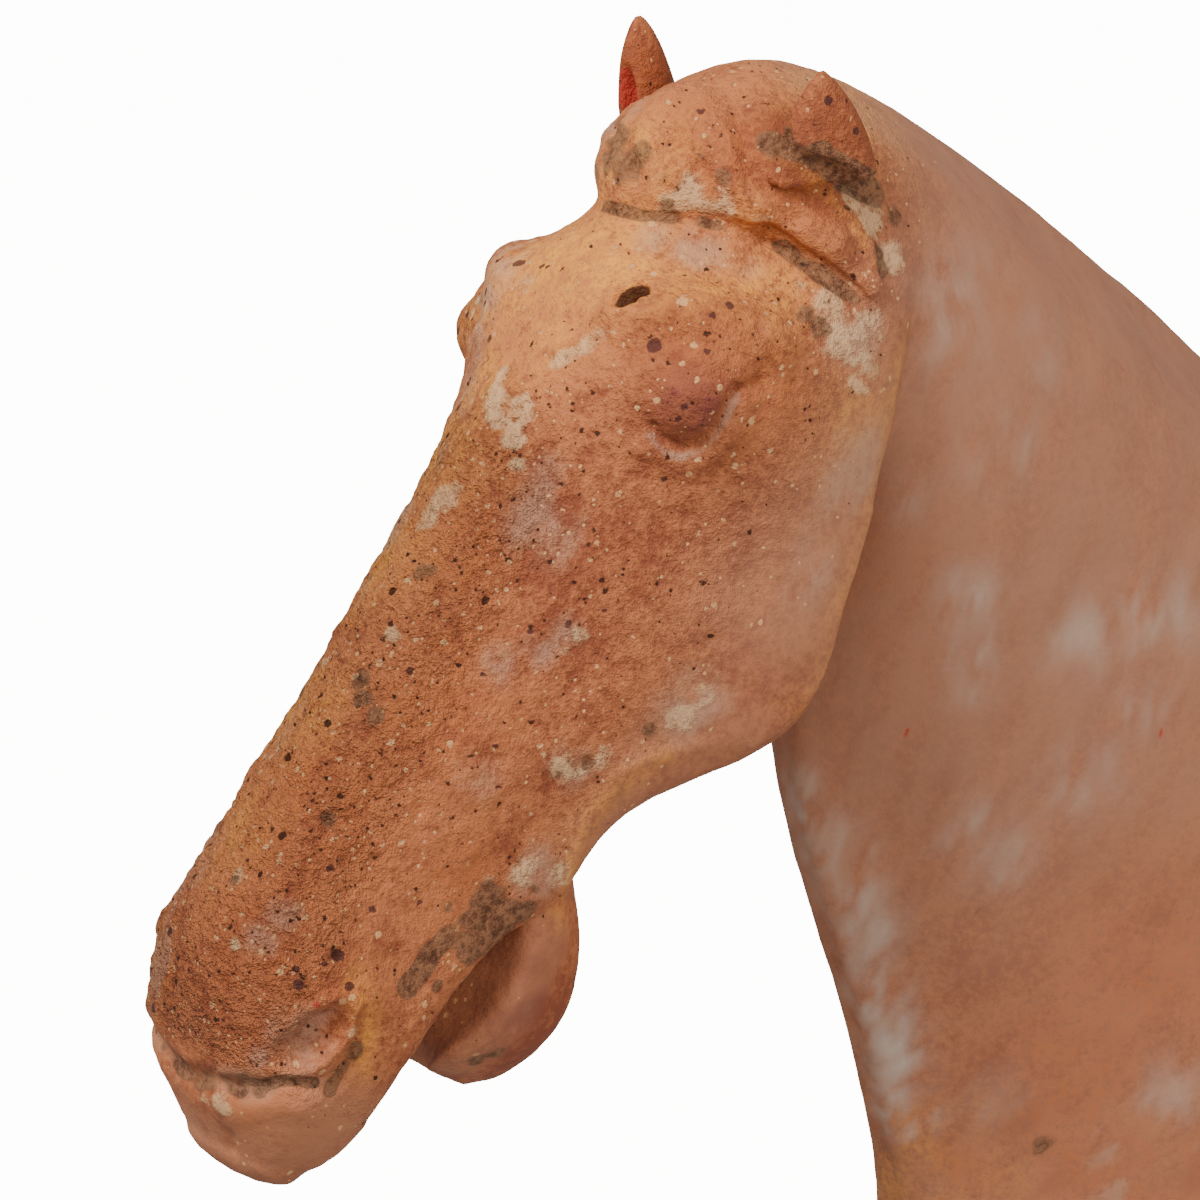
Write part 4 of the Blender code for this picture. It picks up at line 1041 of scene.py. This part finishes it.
# The clay's colours: each one's name, its sRGB value and what it is
CLAY_COLOURS = {
    "deep_clay": ("Deep Clay", "8C482C", "The fired clay in its deeper tone"),
    "light_clay": ("Light Clay", "BC6E42", "The fired clay in its lighter tone"),
    # The pale clay is also painted light inside the mouth
    "pale_clay": ("Pale Clay", "AA765A", "The duller clay of the neck and the cheek's rear"),
    # The buff is also painted highlight along the cheek's edge, the jaw's ridge, the nostril's rear rim
    # and the lock's rear ridge
    "buff": ("Buff", "F09E3A", "Yellowish film where the slip has soaked in"),
    "bright": ("Bright Clay", "B2561F", "Freshly rubbed orange clay"),
    "stain": ("Stain", "6C2E2C", "Purplish red-brown stains"),
    # The haze is also, in part, painted highlight along the lower lids
    "haze": ("Haze", "B4927A", "Thin lilac-grey remains of the slip"),
    # The veil is also, in part, painted highlight along the throat's edge
    "veil": ("Veil", "C6B2A0", "Chalky wash left by the slip on the neck"),
    "slip": ("Slip", "DCB080", "Remains of the pale slip"),
    "soil": ("Soil", "825A3E", "Grey-brown burial soil"),
    "damp_soil": ("Damp Soil", "422C1C", "The soil's darker crumbs"),
    "red": ("Red Paint", "B03426", "Remains of the red paint"),
    "grog": ("Grog", "42201F", "Purple-brown crushed fired clay"),
    "cream": ("Cream Grit", "D49C68", "Cream-coloured grit in the clay"),
    # Painted shade: this dark colour stands for the shade inside the pits, the hole and the dark specks
    "pit": ("Pit", "43210F", "The dark inside of pits and holes"),
}


class HorseHeadClay(bpy.types.PropertyGroup):
    """Sizes of the fired clay; its colours are added from their table."""

    head_length: FloatProperty(
        name="Head Length", description="From the poll to the tip of the upper lip", default=0.165,
        unit="LENGTH")
    head_slope: FloatProperty(
        name="Head Slope", description="How steeply the face points down", default=math.radians(56),
        subtype="ANGLE")
    poll_height: FloatProperty(
        name="Poll Height", description="Height of the poll over the flat cut", default=0.213,
        unit="LENGTH")
    poll_forward: FloatProperty(
        name="Poll Forward", description="How far the poll lies in front of the middle of the cut",
        default=0.111, unit="LENGTH")
    ear_length: FloatProperty(
        name="Ear Length", description="Of the right ear over its base", default=0.0178, unit="LENGTH")
    left_ear_loss: FloatProperty(
        name="Left Ear Loss", description="How much of the left ear's tip is gone", default=0.0016,
        unit="LENGTH")
    ear_width: FloatProperty(
        name="Ear Width", description="Width of an ear at its base", default=0.0126, unit="LENGTH")
    eyeball_rise: FloatProperty(
        name="Eyeball Rise", description="How far the eyeball stands out", default=0.0018,
        unit="LENGTH")
    nostril_depth: FloatProperty(
        name="Nostril Depth", description="Depth of the nostril's hollow", default=0.0026,
        unit="LENGTH")
    mouth_floor: FloatProperty(
        name="Mouth Floor", description="How far the mouth's floor rises in its middle", default=0.0030,
        unit="LENGTH")
    unevenness: FloatProperty(
        name="Unevenness", description="Height of the marks of hand modelling", default=0.0006,
        unit="LENGTH")


for key, (name, shade, description) in CLAY_COLOURS.items():
    HorseHeadClay.__annotations__[key] = StringProperty(
        name=name, description=description + ", sRGB", default=shade)


class HorseHeadStage(bpy.types.PropertyGroup):
    """Sizes of the stage, its lights and its camera."""

    floor_size: FloatProperty(
        name="Floor Size", description="Side of the pale floor", default=8.0, unit="LENGTH")
    floor: StringProperty(
        name="Floor", description="The floor's colour, sRGB", default="F4F2EF")
    distance: FloatProperty(
        name="Camera Distance", description="From the camera to the middle of the face", default=0.6,
        unit="LENGTH")
    azimuth: FloatProperty(
        name="Camera Azimuth", description="Turn of the camera round the head from its front",
        default=math.radians(52), subtype="ANGLE")
    elevation: FloatProperty(
        name="Camera Elevation", description="Height of the camera over the level",
        default=math.radians(18), subtype="ANGLE")
    view_width: FloatProperty(
        name="View Width", description="Width of what the camera sees at its aim", default=0.174,
        unit="LENGTH")
    key_power: FloatProperty(
        name="Key Power", description="Power of the main soft light", default=9.4, unit="POWER")
    fill_power: FloatProperty(
        name="Fill Power", description="Power of the weaker soft light", default=4.0, unit="POWER")
    sky: FloatProperty(
        name="Sky", description="Strength of the even light all round", default=0.50)
    floor_glow: FloatProperty(
        name="Floor Glow", description="Strength of the floor's own light, which only the eye sees",
        default=15.0)


def linear(text):
    """Linear RGBA from an sRGB hex colour."""
    parts = [int(text[k:k + 2], 16) / 255 for k in (0, 2, 4)]
    return tuple(c / 12.92 if c <= 0.04045 else ((c + 0.055) / 1.055) ** 2.4 for c in parts) + (1.0,)


def add(tree, kind, inputs=None, out=0, **settings):
    """Adds a node with its settings and gives that output of it; an input takes a value or the socket
    that it is linked to."""
    node = tree.nodes.new("ShaderNode" + kind)
    for name, value in settings.items():
        setattr(node, name, value)
    for key, value in (inputs or {}).items():
        if isinstance(value, bpy.types.NodeSocket):
            tree.links.new(value, node.inputs[key])
        else:
            node.inputs[key].default_value = value
    return node.outputs[out]


def cut(tree, amount, mottle, reach, soft):
    """Where a finish still lies: its amount times 1 and the mottle's swing, cut softly at a half."""
    swing = add(tree, "Math", {0: mottle, 1: reach, 2: 1 - reach / 2}, operation="MULTIPLY_ADD")
    frayed = add(tree, "Math", {0: amount, 1: swing}, operation="MULTIPLY")
    return add(tree, "MapRange", {"Value": frayed, "From Min": 0.5 - soft, "From Max": 0.5 + soft},
               interpolation_type="SMOOTHSTEP")


def covered(tree, colour, mask, most, shade):
    """The colour under a finish that covers it by its mask times most."""
    thin = add(tree, "Math", {0: mask, 1: most}, operation="MULTIPLY")
    return add(tree, "Mix", {0: thin, 6: colour, 7: shade}, out=2, data_type="RGBA")


def specks(tree, mm, mottle, size, smallest, largest):
    """One grain in each cell of that size in mm, moved at random within the cell, with a radius in
    shares of the cell: a mask of the grains and each cell's random number from 0 to 1. The mottle
    bends the grains' outlines, and 0.6 is half of its bend, the mean."""
    scaled = add(tree, "VectorMath", {0: mm, "Scale": 1 / size}, operation="SCALE")
    cell = add(tree, "VectorMath", {0: scaled}, operation="FLOOR")
    inside = add(tree, "VectorMath", {0: scaled}, operation="FRACTION")
    chance = add(tree, "TexWhiteNoise", {"Vector": cell}, out="Color")
    number = chance.node.outputs["Value"]
    moved = add(tree, "VectorMath", {0: chance, 1: (-0.4, -0.4, -0.4), 2: inside},
                operation="MULTIPLY_ADD")
    apart = add(tree, "VectorMath", {0: moved, 1: (0.3, 0.3, 0.3)}, out="Value", operation="DISTANCE")
    bent = add(tree, "Math", {0: mottle, 1: 1.2, 2: apart}, operation="MULTIPLY_ADD")
    other = add(tree, "Math", {0: number, 1: 7.0}, operation="MULTIPLY")
    other = add(tree, "Math", {0: other}, operation="FRACT")
    radius = add(tree, "Math", {0: other, 1: largest - smallest, 2: smallest + 0.6},
                 operation="MULTIPLY_ADD")
    depth = add(tree, "Math", {0: radius, 1: bent}, operation="SUBTRACT")
    return add(tree, "MapRange", {"Value": depth, "From Min": -0.04, "From Max": 0.06}), number


def fired_earthenware(clay):
    """Low-fired earthenware, pressed in a mould, finished by hand and long buried. The clay is matt and
    sandy, mottled orange, with cream and purple-brown grit up to 2 mm, open pits where grit has fallen
    out, flaking remains of a pale slip with red paint, and grey-brown soil in its hollows. Painted
    shade darkens the inside of the pits and holes and the ears. Painted light lightens the inside of
    the mouth. Painted highlights lighten the cheek's edge, the jaw's ridge, the nostril's rear rim and
    the lock's rear ridge, and in part the lower lids and the throat's edge."""
    material = bpy.data.materials.new("fired_earthenware")
    material.use_nodes = True
    tree = material.node_tree
    shader = tree.nodes["Principled BSDF"]
    place = add(tree, "TexCoord", out="Object")
    mm = add(tree, "VectorMath", {0: place, "Scale": 1000.0}, operation="SCALE")
    names = tuple(FINISHES) + ("tone", "pale", "coarse", "hole", "grog", "cream")
    amount = {name: add(tree, "Attribute", out="Fac", attribute_name=name) for name in names}
    coarse = amount["coarse"]

    # Clay: the stored tone, which holds painted shade on the ears, and a mottle whose coarsest spots
    # are 1.4 mm across
    mottle = add(tree, "TexNoise", {"Vector": mm, "Scale": 1 / 1.4, "Detail": 3.0, "Roughness": 0.8})
    tone = add(tree, "Math", {0: mottle, 1: 1.9, 2: amount["tone"]}, operation="MULTIPLY_ADD")
    tone = add(tree, "MapRange", {"Value": tone, "From Min": 1.15, "From Max": 1.75})
    colour = add(tree, "Mix", {0: tone, 6: linear(clay.deep_clay), 7: linear(clay.light_clay)}, out=2,
                 data_type="RGBA")

    # Films on the clay: the bright, buff and stained ones are worn in the mottle's hollows; the buff is
    # also painted highlight along ridges
    worn = add(tree, "MapRange", {"Value": mottle, "From Min": 0.38, "From Max": 0.60, "To Min": 0.25})
    for name, most, wear, shade in (
            ("pale", 0.85, 1.0, clay.pale_clay), ("bright", 0.55, worn, clay.bright),
            ("buff", 0.92, worn, clay.buff), ("stain", 0.95, worn, clay.stain),
            ("veil", 0.55, 1.0, clay.veil)):
        film = add(tree, "Math", {0: amount[name], 1: most}, operation="MULTIPLY", use_clamp=True)
        colour = covered(tree, colour, film, wear, linear(shade))
    # Haze: slip remains, and along the lower lids partly painted highlight
    haze = cut(tree, amount["haze"], mottle, 1.6, 0.3)
    colour = covered(tree, colour, haze, 0.40, linear(clay.haze))

    # Grit: cells of 0.9 mm hold specks of 0.2 to 0.5 mm and cells of 1.7 mm grains of 0.3 to 0.9 mm,
    # fewer where the skin is smooth; the stored grains are 0.7 to 2 mm. The light specks are cream
    # grit; the dark ones are painted shade, spots of dark colour that stand for the shade inside tiny
    # pits
    for size, most in ((0.9, 0.32), (1.7, 0.26)):
        share = add(tree, "MapRange", {"Value": coarse, "From Min": 0.15, "To Max": most})
        rest = add(tree, "Math", {0: 1.0, 1: share}, operation="SUBTRACT")
        grain, number = specks(tree, mm, mottle, size, 0.10, 0.27)
        for limit, side, shade in ((share, "LESS_THAN", clay.pit), (rest, "GREATER_THAN", clay.cream)):
            chosen = add(tree, "Math", {0: number, 1: limit}, operation=side)
            colour = covered(tree, colour, chosen, grain, linear(shade))
    for name, shade in (("grog", clay.grog), ("cream", clay.cream)):
        grain = cut(tree, amount[name], mottle, 1.2, 0.06)
        colour = covered(tree, colour, grain, 0.85, linear(shade))

    # Slip, soil and paint: ragged patches, the slip worn through, the soil with dark damp crumbs; then
    # painted shade, a dark colour in the small pits and the hole
    crumbs = add(tree, "MapRange", {"Value": mottle, "From Min": 0.39, "From Max": 0.58})
    earth = add(tree, "Mix", {0: crumbs, 6: linear(clay.damp_soil), 7: linear(clay.soil)}, out=2,
                data_type="RGBA")
    slip = cut(tree, amount["slip"], mottle, 2.6, 0.3)
    colour = covered(tree, colour, slip, 0.64, linear(clay.slip))
    for name, reach, soft, most, shade in (
            ("soil", 1.5, 0.12, 0.8, earth), ("red", 1.3, 0.12, 0.85, linear(clay.red)),
            ("hole", 0.1, 0.04, 0.95, linear(clay.pit))):
        patch = cut(tree, amount[name], mottle, reach, soft)
        colour = covered(tree, colour, patch, most, shade)
    tree.links.new(colour, shader.inputs["Base Color"])

    # Relief, 3.6 mm from black to white: the mottle where the skin is coarse, and slip that stands up
    skin = add(tree, "Math", {0: coarse, 1: coarse}, operation="MULTIPLY")
    height = add(tree, "Math", {0: mottle, 1: skin}, operation="MULTIPLY")
    height = add(tree, "Math", {0: slip, 1: 0.04, 2: height}, operation="MULTIPLY_ADD")
    relief = add(tree, "Bump", {"Strength": 1.0, "Distance": 0.0036, "Height": height})
    tree.links.new(relief, shader.inputs["Normal"])
    dull = add(tree, "MapRange", {"Value": coarse, "To Min": 0.72, "To Max": 0.94})
    tree.links.new(dull, shader.inputs["Roughness"])
    shader.inputs["Specular IOR Level"].default_value = 0.3
    return material


class HORSEHEAD_OT_clay(bpy.types.Operator):
    """Model the bust and give it its fired clay"""

    bl_idname = "horse_head.clay"
    bl_label = "Head and Neck"
    bl_options = {"REGISTER", "UNDO"}

    def execute(self, context):
        clay = context.scene.horse_head_clay
        mesh = build_clay(clay)
        mesh.materials.append(fired_earthenware(clay))
        mesh.shade_smooth()
        piece = bpy.data.objects.new("horse_head_clay", mesh)
        context.scene.collection.objects.link(piece)
        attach(piece, BODY)
        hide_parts(NODE)
        return {"FINISHED"}


def directions(azimuth, elevation):
    """Unit vectors from the aim to a watcher, and to the watcher's right and up."""
    back = np.array([math.sin(azimuth) * math.cos(elevation), -math.cos(azimuth) * math.cos(elevation),
                     math.sin(elevation)])
    right = np.array([math.cos(azimuth), math.sin(azimuth), 0.0])
    return back, right, np.cross(back, right)


def facing(name, data, aim, azimuth, elevation, distance):
    """A light or camera that looks at the aim from that side."""
    back, right, up = directions(azimuth, elevation)
    thing = bpy.data.objects.new(name, data)
    bpy.context.scene.collection.objects.link(thing)
    turned = np.eye(4)
    turned[:3, 0], turned[:3, 1], turned[:3, 2], turned[:3, 3] = right, up, back, aim + distance * back
    thing.matrix_world = turned.T
    return thing


class HORSEHEAD_OT_stage(bpy.types.Operator):
    """Set the plain floor, the soft lights and the camera"""

    bl_idname = "horse_head.stage"
    bl_label = "Stage"
    bl_options = {"REGISTER", "UNDO"}

    def execute(self, context):
        stage, clay = context.scene.horse_head_stage, context.scene.horse_head_clay
        half = stage.floor_size / 2
        mesh = bpy.data.meshes.new("floor")
        mesh.from_pydata([(-half, -half, 0), (half, -half, 0), (half, half, 0), (-half, half, 0)], [],
                         [(0, 1, 2, 3)])
        paper = bpy.data.materials.new("matt_paper")
        paper.use_nodes = True
        white = linear(stage.floor)
        for socket, value in (("Base Color", white), ("Roughness", 0.9), ("Emission Color", white),
                              ("Emission Strength", stage.floor_glow)):
            paper.node_tree.nodes["Principled BSDF"].inputs[socket].default_value = value
        paper.cycles.emission_sampling = "NONE"
        mesh.materials.append(paper)
        floor = bpy.data.objects.new("floor", mesh)
        context.scene.collection.objects.link(floor)
        floor.visible_diffuse = floor.visible_glossy = False
        aim = np.array([0.0, -clay.poll_forward - AIM_FORWARD, clay.poll_height - AIM_DOWN])
        camera = bpy.data.cameras.new("camera")
        camera.sensor_width = 36.0
        camera.lens = camera.sensor_width * stage.distance / stage.view_width
        context.scene.camera = facing("camera", camera, aim, stage.azimuth, stage.elevation,
                                      stage.distance)
        for name, (azimuth, elevation, size) in LIGHTS.items():
            light = bpy.data.lights.new(name, "AREA")
            light.size = size
            light.energy = getattr(stage, name + "_power")
            facing(name, light, aim, math.radians(azimuth), math.radians(elevation), LIGHT_DISTANCE)
        world = bpy.data.worlds.new("even light")
        world.use_nodes = True
        for socket, value in (("Color", (1.0, 1.0, 1.0, 1.0)), ("Strength", stage.sky)):
            world.node_tree.nodes["Background"].inputs[socket].default_value = value
        context.scene.world = world
        return {"FINISHED"}


class HORSEHEAD_PT_panel(bpy.types.Panel):
    """The pieces and the stage"""

    bl_label = "Horse Head"
    bl_idname = "HORSEHEAD_PT_panel"
    bl_space_type = "VIEW_3D"
    bl_region_type = "UI"
    bl_category = "Horse Head"

    def draw(self, context):
        for operator in (HORSEHEAD_OT_clay, HORSEHEAD_OT_stage):
            self.layout.operator(operator.bl_idname)


CLASSES = (HorseHeadClay, HorseHeadStage, HORSEHEAD_OT_clay, HORSEHEAD_OT_stage, HORSEHEAD_PT_panel)


def register():
    for kind in CLASSES:
        bpy.utils.register_class(kind)
    bpy.types.Scene.horse_head_clay = PointerProperty(type=HorseHeadClay)
    bpy.types.Scene.horse_head_stage = PointerProperty(type=HorseHeadStage)


def unregister():
    del bpy.types.Scene.horse_head_stage
    del bpy.types.Scene.horse_head_clay
    for kind in reversed(CLASSES):
        bpy.utils.unregister_class(kind)


def main():
    """Register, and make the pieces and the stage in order."""
    register()
    bpy.ops.horse_head.clay()
    bpy.ops.horse_head.stage()


if __name__ == "__main__":
    main()
